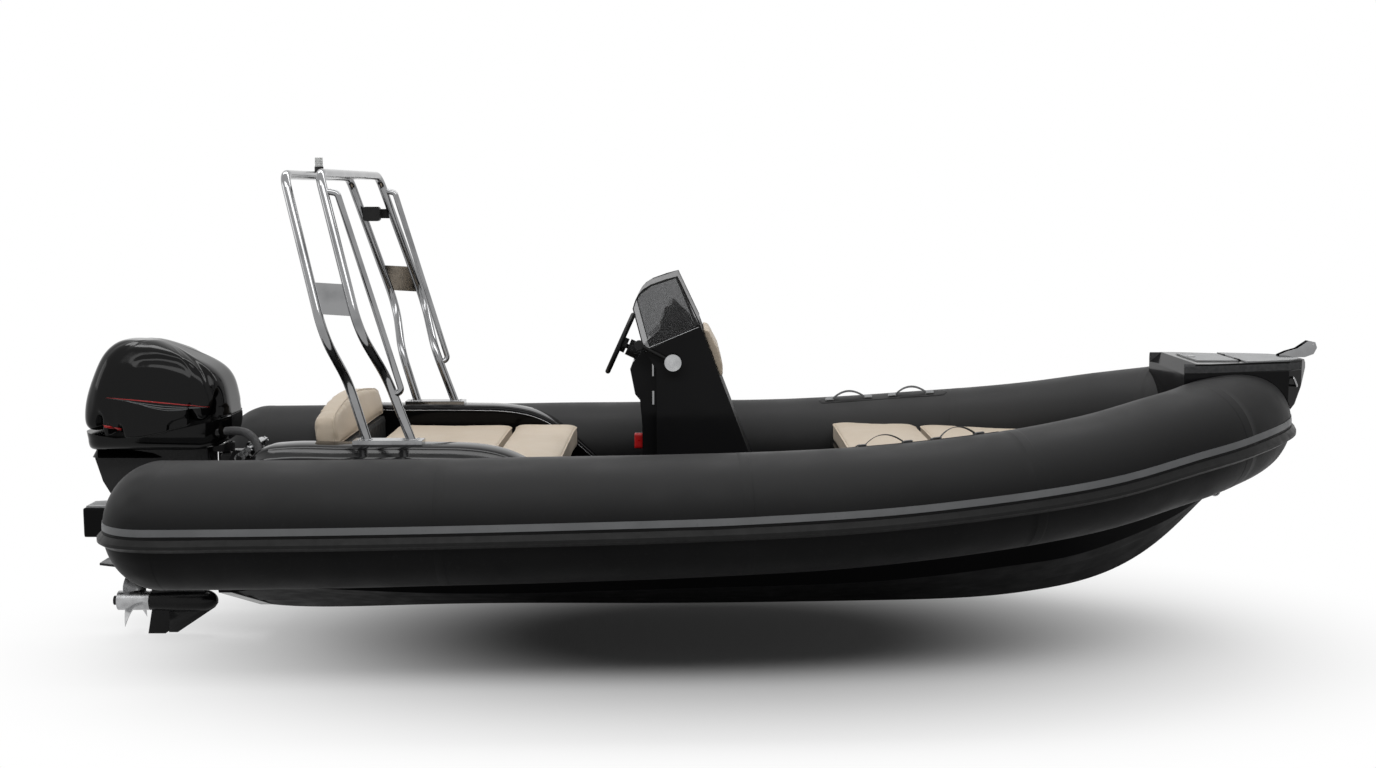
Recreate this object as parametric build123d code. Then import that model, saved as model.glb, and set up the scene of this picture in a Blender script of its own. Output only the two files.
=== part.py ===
"""Rigid inflatable boat of about six metres with a 90-horsepower-class outboard engine.

Millimetres. +X points to the bow, +Y to port, +Z up. The origin is on the centreline,
amidships, at the design waterline.
"""
from build123d import *
from math import atan2, cos, degrees, pi, radians, sin, tan
import os

os.makedirs("parts", exist_ok=True)

# ---- Fits ---------------------------------------------------------------------------------
SEAT_GAP = 0.3            # rigid pieces against the air tubes
SOFT_GAP = 3.0            # cushions against the air tubes
PIN_GAP = 0.05            # radial clearance of a pin in its bore

# ---- Air tubes ----------------------------------------------------------------------------
TUBE_RADIUS = 293.0       # at the stern
DOME_LENGTH = 262.0       # elliptical stern end of each tube
# x, y, z of the tube's axis, and how much slimmer it is there than at the stern
TUBE_PATH = (
    (-2490, 936, 286, 0),
    (-2200, 939, 288, 1),
    (-1800, 943, 293, 3),
    (-1300, 944, 301, 6),
    (-800, 938, 311, 8),
    (-300, 929, 322, 12),
    (200, 915, 338, 16),
    (700, 888, 364, 21),
    (1100, 845, 399, 23),
    (1450, 768, 434, 23),
    (1800, 655, 482, 22),
    (2120, 516, 547, 22),
    (2290, 428, 579, 22),
    (2425, 328, 606, 21),
    (2545, 205, 626, 19),
    (2617, 92, 637, 18),
    (2646, 0, 640, 18),
    (2665, -60, 640, 18),
)
DOME_ANGLES = (105, 80, 55, 28)

# ---- Rubbing strake, heights from the tube's axis -------------------------------------------
STRAKE_LOW = -64.0
STRAKE_TOP = -6.0
STRAKE_REACH = 25.0
STRIPE_LOW = 8.0
STRIPE_TOP = 40.0
STRIPE_THICK = 2.0

# x, y and z of each handle's middle, on the port tube's axis side, and its length
TUBE_HANDLES = ((805, 190), (1155, 180))
HANDLE_LEAN = 14.0
HANDLE_RISE = 48.0
HANDLE_WIDE = 26.0
HANDLE_THICK = 5.0


def tube_handle(x, long):
    """A webbing loop on the inner top of the port tube, standing along it."""
    for low, high in zip(TUBE_PATH, TUBE_PATH[1:]):
        if low[0] <= x < high[0]:
            share = (x - low[0]) / (high[0] - low[0])
            axis = [a + (b - a) * share for a, b in zip(low, high)]
            along = (Vector(*high[:3]) - Vector(*low[:3])).normalized()
    lean = radians(HANDLE_LEAN)
    across = Vector(0, 0, 1).cross(along).normalized()
    up = (along.cross(across) * cos(lean) - across * sin(lean)).normalized()
    skin = Vector(*axis[:3]) + up * (TUBE_RADIUS - axis[3])
    plane = Plane(origin=skin, x_dir=along, z_dir=along.cross(up))
    half, thick = long / 2, HANDLE_THICK
    edges = [
        ThreePointArc((-half, -4), (0, HANDLE_RISE), (half, -4)),
        Line((half, -4), (half - 2 * thick, -4)),
        ThreePointArc((half - 2 * thick, -4), (0, HANDLE_RISE - thick), (2 * thick - half, -4)),
        Line((2 * thick - half, -4), (-half, -4)),
    ]
    return extrude(plane * make_face(edges), HANDLE_WIDE / 2, both=True) - TUBE_SPACE


def tube_handles():
    return Compound([tube_handle(x, long) for x, long in TUBE_HANDLES])


# ---- Hull ---------------------------------------------------------------------------------
TRANSOM_AFT = -2320.0
TRANSOM_THICK = 60.0
TRANSOM_TOP = 390.0
HULL_TOP = 65.0
BOW_BLOCK_AFT = 2100.0
BOW_BLOCK_TOP = 500.0
# x, keel z, chine y, chine z
HULL_STATIONS = (
    (-2260, -327, 720, -81),
    (-1400, -325, 735, -78),
    (-500, -320, 730, -70),
    (460, -312, 700, -48),
    (1000, -302, 655, -22),
    (1490, -275, 575, 22),
    (1900, -201, 460, 85),
    (2200, -62, 335, 170),
    (2400, 110, 225, 250),
    (2547, 262, 110, 325),
    (2720, 362, 25, 374),
)
RAIL_PLACES = (0.36, 0.70)    # spray rails, as shares of the sloping bottom from keel to chine
RAIL_WIDTH = 26.0
CHINE_FLAT = 40.0
RAIL_SHARE = 0.10             # a rail's widest share of the half-beam, where the bow narrows
TOPSIDE_RISE = 600.0
TOPSIDE_FLARE = 250.0
DECK_THICK = 25.0
DECK_TOP = HULL_TOP + DECK_THICK

# ---- Bow sundeck ----------------------------------------------------------------------------
SUNDECK_AFT = 660.0
SUNDECK_TOP = 430.0
SUNDECK_SEAM = 1130.0
SUNDECK_TIP = 1720.0
BOW_CUSHION_THICK = 100.0

# ---- Bow step -------------------------------------------------------------------------------
STEP_TOP = 950.0
STEP_AFT = 2360.0
STEP_TIP = 2992.0
STEP_PAD_THICK = 6.0
STEP_BULKHEAD = 60.0
PAD_MARGIN = 14.0             # bare edge round the step's pads
PAD_NOSE = 62.0               # bare end before the step's tip
HATCH_SETBACK = 35.0          # from the step's aft edge
HATCH_LENGTH = 225.0
HATCH_THICK = 12.0
HATCH_HALF = 175.0
HATCH_GAP = 3.0
HATCH_AFT = STEP_AFT + HATCH_SETBACK
HATCH_FORE = HATCH_AFT + HATCH_LENGTH
TRAY_LIP = 20.0               # ledge that carries the hatch's edges
TRAY_DEPTH = 155.0
HINGE_RADIUS = 5.0
HINGE_Y = 110.0
HINGE_LONG = 30.0
HINGE_LEAF = 10.0

# ---- Bow roller -----------------------------------------------------------------------------
ROLLER_X = 3016.0
ROLLER_Z = 984.0
ROLLER_RADIUS = 17.0
ROLLER_WIDTH = 36.0
ROLLER_PIN = 5.0
CHEEK_THICK = 4.0
CHEEK_INSIDE = 40.0
LOCK_HOLE_RADIUS = 4.0

# ---- Stern ----------------------------------------------------------------------------------
BENCH_AFT = -1872.0
BENCH_FORE = -745.0
BENCH_HALF = 619.0
BENCH_TOP = 400.0
BENCH_CUSHION_THICK = 125.0
BENCH_CUSHION_HALF = 585.0
BENCH_SEAM = -1060.0
BACKREST_AFT = -1865.0
BACKREST_THICK = 88.0
BACKREST_HALF = 585.0
BACKREST_LOW = 575.0
BACKREST_SHOULDER = 665.0
BACKREST_TOP = 795.0
SIDE_DECK_TOP = 633.0
SIDE_DECK_INNER = 620.0
PLATFORM_TOP = 292.0
PLATFORM_LOW = 150.0
PLATFORM_AFT = -2998.0

# ---- Roll bar -------------------------------------------------------------------------------
BAR_RADIUS = 22.0
CORNER_BEND = 85.0
ELBOW_BEND = 220.0
RAIL_RADIUS = 15.0
FOOT_Y = 700.0
FOOT_THICK = 8.0
ELBOW_Y = 905.0
HORN_X = -1845.0
HORN_Z = 1664.0

# ---- Console --------------------------------------------------------------------------------
CONSOLE_HALF = 310.0
HELM_HALF = 250.0
POD_HALF = 225.0
SCREEN_THICK = 6.0
PAD_HALF = 240.0
LEVER_OUT = 22.0
LEVER_THICK = 18.0
WHEEL_RADIUS = 155.0
WHEEL_RIM = 13.0
WHEEL_CENTRE = (-461.0, 0.0, 1025.0)
WHEEL_RAKE = 24.4
SHAFT_RADIUS = 12.0

# ---- Outboard engine ------------------------------------------------------------------------
TILT_X = -2362.0
TILT_Z = 462.0
TILT_TUBE_RADIUS = 14.0
STEER_X = TILT_X - 108.0
SWIVEL_RADIUS = 40.0
SWIVEL_LOW = 120.0
SWIVEL_TOP = 470.0
KINGPIN_RADIUS = 20.0
CLAMP_INNER = 118.0
CLAMP_THICK = 30.0
COWL_HALF = 210.0
PROP_AXIS_Z = -305.0
PROP_RADIUS = 165.0
PROP_HUB = 50.0
PROP_SHAFT = 15.0
PROP_FORE = -2885.0
PROP_AFT = -3050.0
PROP_PITCH = 430.0
PROP_BLADES = 3
GEARCASE_RADIUS = 56.0
GEARCASE_FORE = -2620.0
GEARCASE_AFT = -2880.0
NOSE_LENGTH = 80.0
HOSE_RADIUS = 21.0


# ---- Helpers --------------------------------------------------------------------------------
def outline(points, radius=0.0):
    """A flat closed outline, with all its corners rounded if a radius is given."""
    face = make_face(Polyline(*points, close=True))
    return fillet(face.vertices(), radius) if radius else face


def side_prism(points, y_low, y_high, radius=0.0):
    """An outline in X and Z, pushed from y_low to y_high."""
    plane = Plane(origin=(0, y_high, 0), x_dir=(1, 0, 0), z_dir=(0, -1, 0))
    return extrude(plane * outline(points, radius), y_high - y_low)


def plan_prism(points, z_low, z_high, radius=0.0):
    """An outline in X and Y, pushed from z_low to z_high."""
    return extrude(Pos(0, 0, z_low) * outline(points, radius), z_high - z_low)


def cross_prism(points, x_low, x_high, radius=0.0):
    """An outline in Y and Z, pushed from x_low to x_high."""
    plane = Plane(origin=(x_low, 0, 0), x_dir=(0, 1, 0), z_dir=(1, 0, 0))
    return extrude(plane * outline(points, radius), x_high - x_low)


def block(x, y, z):
    """A box from its three (low, high) pairs."""
    size = [high - low for low, high in (x, y, z)]
    centre = [(low + high) / 2 for low, high in (x, y, z)]
    return Pos(*centre) * Box(*size)


def rod_between(start, end, radius):
    """A round rod from one point to another."""
    axis = Vector(*end) - Vector(*start)
    return extrude(Plane(origin=start, z_dir=axis) * Circle(radius), axis.length)


def bent_bar(points, bend_radius, radius):
    """A round bar along straight runs joined by arcs."""
    path = FilletPolyline(*points, radius=bend_radius)
    start = Plane(origin=path @ 0, z_dir=path % 0)
    return sweep(start * Circle(radius), path=path)


def to_starboard(part):
    """The mirror image of a port piece."""
    return mirror(part, about=Plane.XZ)


def both_sides(part):
    """A port piece together with its mirror image."""
    return Compound([part, to_starboard(part)])


# ---- Air tubes ------------------------------------------------------------------------------
def tube_frames():
    """From the port stern to just past the bow centreline: planes square to the tube's axis,
    with x outward and y up, and the radius at each."""
    places = [Vector(x, y, z) for x, y, z, _ in TUBE_PATH]
    frames = []
    for i, place in enumerate(places):
        if i == 0:
            along = Vector(1, 0, 0)
        elif i == len(places) - 1:
            along = (place - places[i - 1]).normalized()
        else:
            along = (places[i + 1] - places[i - 1]).normalized()
        outward = Vector(0, 0, 1).cross(along).normalized()
        plane = Plane(origin=place, x_dir=outward, z_dir=along)
        frames.append((plane, TUBE_RADIUS - TUBE_PATH[i][3]))
    return frames


def dome_frames():
    """Planes for the strake's path round the stern dome, from its inner end to the tube."""
    x, y, z, slimmer = TUBE_PATH[0]
    radius = TUBE_RADIUS - slimmer
    frames = []
    for angle in DOME_ANGLES:
        turn = radians(angle)
        normal = Vector(-sin(turn) / DOME_LENGTH, cos(turn) / radius, 0).normalized()
        along = Vector(normal.Y, -normal.X, 0)
        surface = Vector(x - DOME_LENGTH * sin(turn), y + radius * cos(turn), z)
        frames.append((Plane(origin=surface - normal * radius, x_dir=normal, z_dir=along), radius))
    return frames


def stern_dome(extra):
    """The elliptical end of the port tube."""
    x, y, z, slimmer = TUBE_PATH[0]
    long = DOME_LENGTH + extra
    wide = TUBE_RADIUS - slimmer + extra
    edges = [
        EllipticalCenterArc((0, 0), long, wide, start_angle=90, arc_size=90),
        Line((-long, 0), (0, 0)),
        Line((0, 0), (0, wide)),
    ]
    return Pos(x, y, z) * revolve(make_face(edges), axis=Axis.X)


def air_tube(extra=0.0):
    """The port tube from its stern dome to the mitre on the bow centreline."""
    body = loft([plane * Circle(radius + extra) for plane, radius in tube_frames()])
    return (body + stern_dome(extra)) & PORT_SIDE


def along_tube(section):
    """A band along the port tube, its section given as points from the tube's axis."""
    frames = dome_frames() + tube_frames()
    return loft([plane * outline(section(radius)) for plane, radius in frames])


def strake_section(radius):
    """The D-shaped rubber, in outward and upward distances from the tube's axis."""
    middle = (STRAKE_LOW + STRAKE_TOP) / 2
    return (
        (radius - 25, STRAKE_LOW),
        (radius - 4, STRAKE_LOW),
        (radius + STRAKE_REACH, middle - 9),
        (radius + STRAKE_REACH, middle + 5),
        (radius + 3, STRAKE_TOP),
        (radius - 25, STRAKE_TOP),
    )


def stripe_section(radius):
    """A flat band through the tube's skin, just above the rubber."""
    return (
        (radius - 25, STRIPE_LOW),
        (radius + 20, STRIPE_LOW),
        (radius + 20, STRIPE_TOP),
        (radius - 25, STRIPE_TOP),
    )


PORT_SIDE = block((-4000, 4000), (0, 2000), (-2000, 3000))
TUBE_PORT = air_tube()
TUBE_SPACE = air_tube(SEAT_GAP)


def clear_of_tubes(part, space=TUBE_SPACE):
    """A piece that is alike on both sides, cut back to its seat against both tubes."""
    half = (part & PORT_SIDE) - space
    return half + to_starboard(half)


def rub_strake():
    return (along_tube(strake_section) & PORT_SIDE) - TUBE_SPACE


def strake_stripe():
    skin = air_tube(SEAT_GAP + STRIPE_THICK)
    return (along_tube(stripe_section) & skin) - TUBE_SPACE


# ---- Hull -----------------------------------------------------------------------------------
def bottom_half(keel, chine_y, chine_z, railed):
    """From the keel to the port chine: a plain slope, or one stepped by rails and a chine flat."""
    if not railed:
        return [(0, keel), (chine_y, chine_z)]
    rail = min(RAIL_WIDTH, RAIL_SHARE * chine_y)
    flat = min(CHINE_FLAT, 1.5 * RAIL_SHARE * chine_y)
    run = chine_y - len(RAIL_PLACES) * rail - flat
    points = [(0, keel)]
    for number, share in enumerate(RAIL_PLACES):
        y = share * run + number * rail
        z = keel + share * (chine_z - keel)
        points += [(y, z), (y + rail, z)]
    return points + [(chine_y - flat, chine_z), (chine_y, chine_z)]


def hull_form(railed=False):
    """The V-shaped body, taller than the hull, that the hull and lockers are cut from."""
    sections = []
    for x, keel, chine_y, chine_z in HULL_STATIONS:
        half = bottom_half(keel, chine_y, chine_z, railed)
        half.append((chine_y + TOPSIDE_FLARE, chine_z + TOPSIDE_RISE))
        points = half + [(-y, z) for y, z in reversed(half[1:])]
        plane = Plane(origin=(x, 0, 0), x_dir=(0, 1, 0), z_dir=(1, 0, 0))
        sections.append(plane * outline(points))
    return loft(sections)


HULL_FORM = hull_form()


def hull():
    body = hull_form(railed=True)
    body = body - block((BOW_BLOCK_AFT, 2900), (-1500, 1500), (BOW_BLOCK_TOP, 2000))
    body = body - block((-3000, BOW_BLOCK_AFT), (-1500, 1500), (SUNDECK_TOP - DECK_THICK, 2000))
    cockpit_end = SUNDECK_AFT + DECK_THICK
    body = body - block((-3000, cockpit_end), (-1500, 1500), (HULL_TOP, 2000))
    return clear_of_tubes(body)


def deck():
    length = (TRANSOM_AFT + TRANSOM_THICK, SUNDECK_AFT)
    return clear_of_tubes(HULL_FORM & block(length, (-900, 900), (HULL_TOP, DECK_TOP)))


def transom():
    _, keel, chine_y, chine_z = HULL_STATIONS[0]
    half = (
        (chine_y, chine_z), (chine_y + 58, chine_z + 140), (chine_y, 300), (600, TRANSOM_TOP),
    )
    points = ((0, keel),) + half + tuple((-y, z) for y, z in reversed(half))
    return clear_of_tubes(cross_prism(points, TRANSOM_AFT, TRANSOM_AFT + TRANSOM_THICK))


# ---- Bow ------------------------------------------------------------------------------------
def sundeck():
    """The raised foredeck: a flat top and the step down to the cockpit sole."""
    length = (SUNDECK_AFT, BOW_BLOCK_AFT)
    raw = HULL_FORM & block(length, (-900, 900), (HULL_TOP, SUNDECK_TOP))
    inside = (SUNDECK_AFT + DECK_THICK, BOW_BLOCK_AFT)
    raw = raw - block(inside, (-900, 900), (0, SUNDECK_TOP - DECK_THICK))
    return clear_of_tubes(raw)


def bow_cushion(x_low, x_high):
    top = SUNDECK_TOP + BOW_CUSHION_THICK
    raw = HULL_FORM & block((x_low, x_high), (-900, 900), (SUNDECK_TOP, top))
    return clear_of_tubes(raw, air_tube(SOFT_GAP))


def step_plan(inset):
    """Half-widths of the bow step from above."""
    half = (
        (STEP_AFT - STEP_BULKHEAD, 300 - inset), (STEP_AFT + 60, 300 - inset),
        (2860, 170 - inset), (2950, 95 - inset), (STEP_TIP - inset / 2, 30),
    )
    return half + tuple((x, -y) for x, y in reversed(half))


def bow_step():
    side = (
        (STEP_AFT, STEP_TOP), (2975, STEP_TOP), (2990, 930), (STEP_TIP, 905), (2909, 733),
        (2800, 640), (2450, 640), (2400, BOW_BLOCK_TOP), (STEP_AFT - STEP_BULKHEAD, BOW_BLOCK_TOP),
        (STEP_AFT - STEP_BULKHEAD, 900),
    )
    body = side_prism(side, -400, 400) & plan_prism(step_plan(0), 400, 1100)
    body = clear_of_tubes(body)
    recess = block(
        (HATCH_AFT, HATCH_FORE), (-HATCH_HALF, HATCH_HALF), (STEP_TOP - HATCH_THICK, STEP_TOP + 50)
    )
    low, high = HATCH_AFT + TRAY_LIP, HATCH_FORE - TRAY_LIP
    long = high - low
    tray = (
        (low, STEP_TOP), (high, STEP_TOP), (high, STEP_TOP - 0.15 * TRAY_DEPTH),
        (low + 0.63 * long, STEP_TOP - 0.31 * TRAY_DEPTH),
        (low + 0.32 * long, STEP_TOP - 0.57 * TRAY_DEPTH), (low, STEP_TOP - TRAY_DEPTH),
    )
    body = body - recess - side_prism(tray, 1.5 * TRAY_LIP - HATCH_HALF, HATCH_HALF - 1.5 * TRAY_LIP)
    end = HINGE_LONG / 2 + SEAT_GAP
    for middle in (-HINGE_Y, HINGE_Y):
        for low, high in ((middle - 2 * end, middle - end), (middle + end, middle + 2 * end)):
            body = body + hinge_knuckle(low, high, 1)
    return body


def hinge_knuckle(y_low, y_high, way):
    """A round knuckle of the hatch's hinge, with its leaf forward (1) or aft (-1)."""
    x = HATCH_FORE - HATCH_GAP
    z = STEP_TOP + STEP_PAD_THICK
    knuckle = rod_between((x, y_low, z), (x, y_high, z), HINGE_RADIUS)
    leaf = block(sorted((x, x + way * HINGE_LEAF)), (y_low, y_high), (STEP_TOP, z - 2))
    return knuckle + leaf


def anchor_hatch():
    gap = HATCH_GAP
    lid = block(
        (HATCH_AFT + gap, HATCH_FORE - gap),
        (gap - HATCH_HALF, HATCH_HALF - gap),
        (STEP_TOP - HATCH_THICK + SEAT_GAP, STEP_TOP),
    )
    for middle in (-HINGE_Y, HINGE_Y):
        lid = lid + hinge_knuckle(middle - HINGE_LONG / 2, middle + HINGE_LONG / 2, -1)
    return lid


def step_pad():
    plan = plan_prism(step_plan(PAD_MARGIN), STEP_TOP, STEP_TOP + STEP_PAD_THICK)
    hinge_room = HATCH_FORE - HATCH_GAP + HINGE_LEAF + 2
    window = block(
        (STEP_AFT - 200, hinge_room), (-500, 500), (STEP_TOP - 1, STEP_TOP + 50)
    )
    nose = block(
        (STEP_TIP - PAD_NOSE, STEP_TIP + 100), (-500, 500), (STEP_TOP - 1, STEP_TOP + 50)
    )
    return plan - window - nose


def hatch_pad():
    gap = HATCH_GAP + 4
    return block(
        (HATCH_AFT + gap, HATCH_FORE - HATCH_GAP - HINGE_LEAF - 2),
        (gap - HATCH_HALF, HATCH_HALF - gap),
        (STEP_TOP, STEP_TOP + STEP_PAD_THICK),
    )


BOW_STEP = bow_step()


def bow_roller_bracket():
    base = STEP_TOP + STEP_PAD_THICK
    cheek = (
        (2862, base), (2862, 968), (2900, 985), (2952, 1000), (3008, 1038), (3040, 1032),
        (3050, 1004), (3034, 972), (2990, 956),
    )
    inside = CHEEK_INSIDE / 2
    port = side_prism(cheek, inside, inside + CHEEK_THICK)
    floor = block((2862, 2960), (-inside, inside), (base, base + CHEEK_THICK))
    pin = Pos(ROLLER_X, 0, ROLLER_Z) * Rot(90, 0, 0) * Cylinder(ROLLER_PIN, CHEEK_INSIDE)
    hole = Pos(3028, 0, 1019) * Rot(90, 0, 0) * Cylinder(LOCK_HOLE_RADIUS, 100)
    return port + to_starboard(port) + floor + pin - hole


def bow_roller():
    body = Cylinder(ROLLER_RADIUS, ROLLER_WIDTH) - Cylinder(ROLLER_PIN + PIN_GAP, 100)
    return Pos(ROLLER_X, 0, ROLLER_Z) * Rot(90, 0, 0) * body


def bow_eye():
    ring = Pos(2573, 0, 266) * Rot(90, 0, 0) * Torus(22, 5)
    return ring - HULL_FORM


def bow_cleats():
    """A mooring staple on each side of the bow step."""
    points = ((2884, 110, 868), (2884, 168, 868), (2902, 168, 826), (2902, 110, 826))
    staple = bent_bar(points, 9, 6)
    return both_sides(staple - BOW_STEP)


# ---- Stern ----------------------------------------------------------------------------------
def side_deck():
    side = (
        (-2160, DECK_TOP), (-2160, 560), (-2080, SIDE_DECK_TOP), (-950, SIDE_DECK_TOP),
        (-860, 590), (-560, 350), (-420, DECK_TOP),
    )
    cross = (
        (SIDE_DECK_INNER, DECK_TOP), (SIDE_DECK_INNER, 612), (640, SIDE_DECK_TOP),
        (775, SIDE_DECK_TOP), (925, 580), (925, DECK_TOP),
    )
    raw = side_prism(side, 500, 1000) & cross_prism(cross, -2300, -300, 8)
    return raw - TUBE_SPACE


def bench_base():
    side = (
        (BENCH_AFT, DECK_TOP), (BENCH_AFT, BENCH_TOP), (BENCH_FORE, BENCH_TOP),
        (BENCH_FORE - 60, DECK_TOP),
    )
    return side_prism(side, -BENCH_HALF, BENCH_HALF)


def bench_cushion(x_low, x_high):
    top = BENCH_TOP + BENCH_CUSHION_THICK
    half = BENCH_CUSHION_HALF
    return block((x_low, x_high), (-half, half), (BENCH_TOP, top))


def backrest():
    """A thin cushion with an arched top, across the aft edge of the bench."""
    half = BACKREST_HALF
    low_port, low_starboard = (half, BACKREST_LOW), (-half, BACKREST_LOW)
    port, starboard = (half, BACKREST_SHOULDER), (-half, BACKREST_SHOULDER)
    edges = [
        Line(low_starboard, low_port),
        Line(low_port, port),
        ThreePointArc(port, (0, BACKREST_TOP), starboard),
        Line(starboard, low_starboard),
    ]
    face = make_face(edges)
    face = fillet(face.vertices(), 28)
    plane = Plane(origin=(BACKREST_AFT, 0, 0), x_dir=(0, 1, 0), z_dir=(1, 0, 0))
    return extrude(plane * face, BACKREST_THICK)


def backrest_bracket():
    """The black plinth and upright behind one half of the backrest."""
    fore = BACKREST_AFT + BACKREST_THICK + 12
    side = (
        (BACKREST_AFT + 6, BENCH_TOP), (BACKREST_AFT + 6, BACKREST_LOW),
        (fore - 6, BACKREST_LOW), (fore, BACKREST_LOW - 20), (fore, BENCH_TOP),
    )
    return side_prism(side, 0.3, BACKREST_HALF - 25)


def swim_platform():
    plan = (
        (TRANSOM_AFT, 240), (TRANSOM_AFT, 600), (-2560, 600), (-2800, 575), (PLATFORM_AFT, 575),
        (PLATFORM_AFT, 420),
    )
    return plan_prism(plan, PLATFORM_LOW, PLATFORM_TOP) - TUBE_SPACE


def platform_pad():
    plan = (
        (TRANSOM_AFT - 12, 258), (TRANSOM_AFT - 12, 585), (-2560, 585), (-2790, 560),
        (PLATFORM_AFT + 14, 560), (PLATFORM_AFT + 14, 436),
    )
    return plan_prism(plan, PLATFORM_TOP, PLATFORM_TOP + 8) - TUBE_SPACE


# ---- Roll bar -------------------------------------------------------------------------------
FOOT_TOP = SIDE_DECK_TOP + FOOT_THICK
AFT_LEG = ((-1600, FOOT_Y, 600), (-1693, FOOT_Y, 915), (-1755, ELBOW_Y, 1143), (-1960, 705, 1862))
FORE_LEG = ((-1392, FOOT_Y, 600), (-1510, FOOT_Y, 925), (-1597, ELBOW_Y, 1170), (-1800, 705, 1868))


def hoop(leg):
    points = list(leg) + [(x, -y, z) for x, y, z in reversed(leg)]
    bends = [ELBOW_BEND, ELBOW_BEND, CORNER_BEND, CORNER_BEND, ELBOW_BEND, ELBOW_BEND]
    return bent_bar(points, bends, BAR_RADIUS) - block((-3000, 0), (-1500, 1500), (0, FOOT_TOP))


def leg_point(leg, z):
    """The point of a leg's centreline at height z."""
    for low, high in zip(leg, leg[1:]):
        if low[2] <= z <= high[2]:
            share = (z - low[2]) / (high[2] - low[2])
            return tuple(a + (b - a) * share for a, b in zip(low, high))


HOOP_AFT = hoop(AFT_LEG)
HOOP_FORE = hoop(FORE_LEG)


def foot_plate():
    return block(
        (-1660, -1360), (FOOT_Y - 38, FOOT_Y + 38), (SIDE_DECK_TOP, FOOT_TOP)
    )


def leg_plate():
    corners = [leg_point(AFT_LEG, 1240), leg_point(FORE_LEG, 1230),
               leg_point(FORE_LEG, 1370), leg_point(AFT_LEG, 1380)]
    centre = sum((Vector(*c) for c in corners), Vector()) / 4
    across = (Vector(*corners[1]) - Vector(*corners[0])).normalized()
    rise = Vector(*corners[3]) - Vector(*corners[0])
    plane = Plane(origin=centre, x_dir=across, z_dir=across.cross(rise))
    flat = [plane.to_local_coords(Vector(*c)) for c in corners]
    face = plane * outline([(p.X, p.Y) for p in flat])
    return extrude(face, 2.5, both=True) - HOOP_AFT - HOOP_FORE


def grab_rail():
    top = leg_point(FORE_LEG, 1790)
    low = leg_point(FORE_LEG, 862)
    points = (
        top, (top[0] + 62, 722, top[2] - 12), (low[0] + 50, 716, low[2] - 8), low,
    )
    return bent_bar(points, 24, RAIL_RADIUS) - HOOP_FORE


def horn():
    """The horn between the port legs, with the plate that carries it."""
    corners = [leg_point(AFT_LEG, 1640), leg_point(FORE_LEG, 1640),
               leg_point(FORE_LEG, 1690), leg_point(AFT_LEG, 1690)]
    centre = sum((Vector(*c) for c in corners), Vector()) / 4
    across = (Vector(*corners[1]) - Vector(*corners[0])).normalized()
    rise = Vector(*corners[3]) - Vector(*corners[0])
    plane = Plane(origin=centre, x_dir=across, z_dir=across.cross(rise))
    flat = [plane.to_local_coords(Vector(*c)) for c in corners]
    plate = extrude(plane * outline([(p.X, p.Y) for p in flat]), 2, both=True)
    body = Pos(HORN_X, centre.Y - 32, HORN_Z) * Box(92, 44, 78)
    body = fillet(body.edges().filter_by(Axis.Y), 16)
    link = Pos(HORN_X, centre.Y - 6, HORN_Z) * Box(40, 20, 30)
    return plate + body + link - HOOP_AFT - HOOP_FORE


def mast_light_base():
    return Pos(-1960, 0, 1862 + 32) * Cylinder(22, 30) - HOOP_AFT


def mast_light_lens():
    return Pos(-1960, 0, 1862 + 47 + 22) * Cylinder(19, 44)


# ---- Console --------------------------------------------------------------------------------
def console_body():
    side = (
        (337, DECK_TOP), (174, 527), (-62, 1146), (-330, 1010), (-275, 925), (-270, DECK_TOP),
    )
    helm = (
        (-271, DECK_TOP), (-271, 1038), (-335, 1014), (-390, 955), (-404, 921), (-380, 797),
        (-356, 768), (-345, 640), (-340, DECK_TOP),
    )
    pod = (
        (-300, 1000), (-321, 1058), (-262, 1110), (-218, 1223), (-198, 1240), (-112, 1158),
        (-90, 1100),
    )
    body = side_prism(side, -CONSOLE_HALF, CONSOLE_HALF) + side_prism(helm, -HELM_HALF, HELM_HALF)
    return body + side_prism(pod, -POD_HALF, POD_HALF)


CONSOLE = console_body()


def windscreen():
    """A smoked hood on the console: two sides, a front and a curved top, open towards the helm."""
    front_low, front_top = (-62, 1146), (-172, 1378)
    roof, brow, aft_low = (-300, 1336), (-386, 1222), (-330, 1010)
    edges = [
        Line(front_low, front_top),
        Line(front_top, roof),
        ThreePointArc(roof, (-357, 1294), brow),
        Line(brow, aft_low),
        Line(aft_low, front_low),
    ]
    thick = SCREEN_THICK
    room = (
        (-62 - 1.1 * thick, 1100), (-172 - 1.1 * thick, 1378 - 1.6 * thick),
        (-300 + 0.3 * thick, 1336 - 1.1 * thick), (-350, 1290), (-367, 1262), (-420, 1262),
        (-420, 900),
    )
    inside = CONSOLE_HALF - thick
    plane = Plane(origin=(0, CONSOLE_HALF, 0), x_dir=(1, 0, 0), z_dir=(0, -1, 0))
    outer = extrude(plane * make_face(edges), 2 * CONSOLE_HALF)
    return outer - side_prism(room, -inside, inside) - CONSOLE


def console_pad():
    side = ((-50, 1118), (-22, 1112), (28, 1019), (50, 940), (52, 884), (30, 878))
    return side_prism(side, -PAD_HALF, PAD_HALF) - CONSOLE


def throttle_hub():
    """The bright cap over the lever's boss."""
    y = -CONSOLE_HALF - LEVER_OUT - LEVER_THICK / 2
    return rod_between((-193, y, 962), (-193, y - 12, 962), 41)


def throttle_lever():
    y = -CONSOLE_HALF - LEVER_OUT
    start, end = (-215, y, 974), (-358, y, 1048)
    grip = rod_between((end[0], y - 34, end[2]), (end[0], y + 12, end[2]), 22)
    boss = rod_between((-193, -CONSOLE_HALF, 962), (-193, y - LEVER_THICK / 2, 962), 36)
    return rod_between(start, end, LEVER_THICK / 2) + grip + boss


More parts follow.
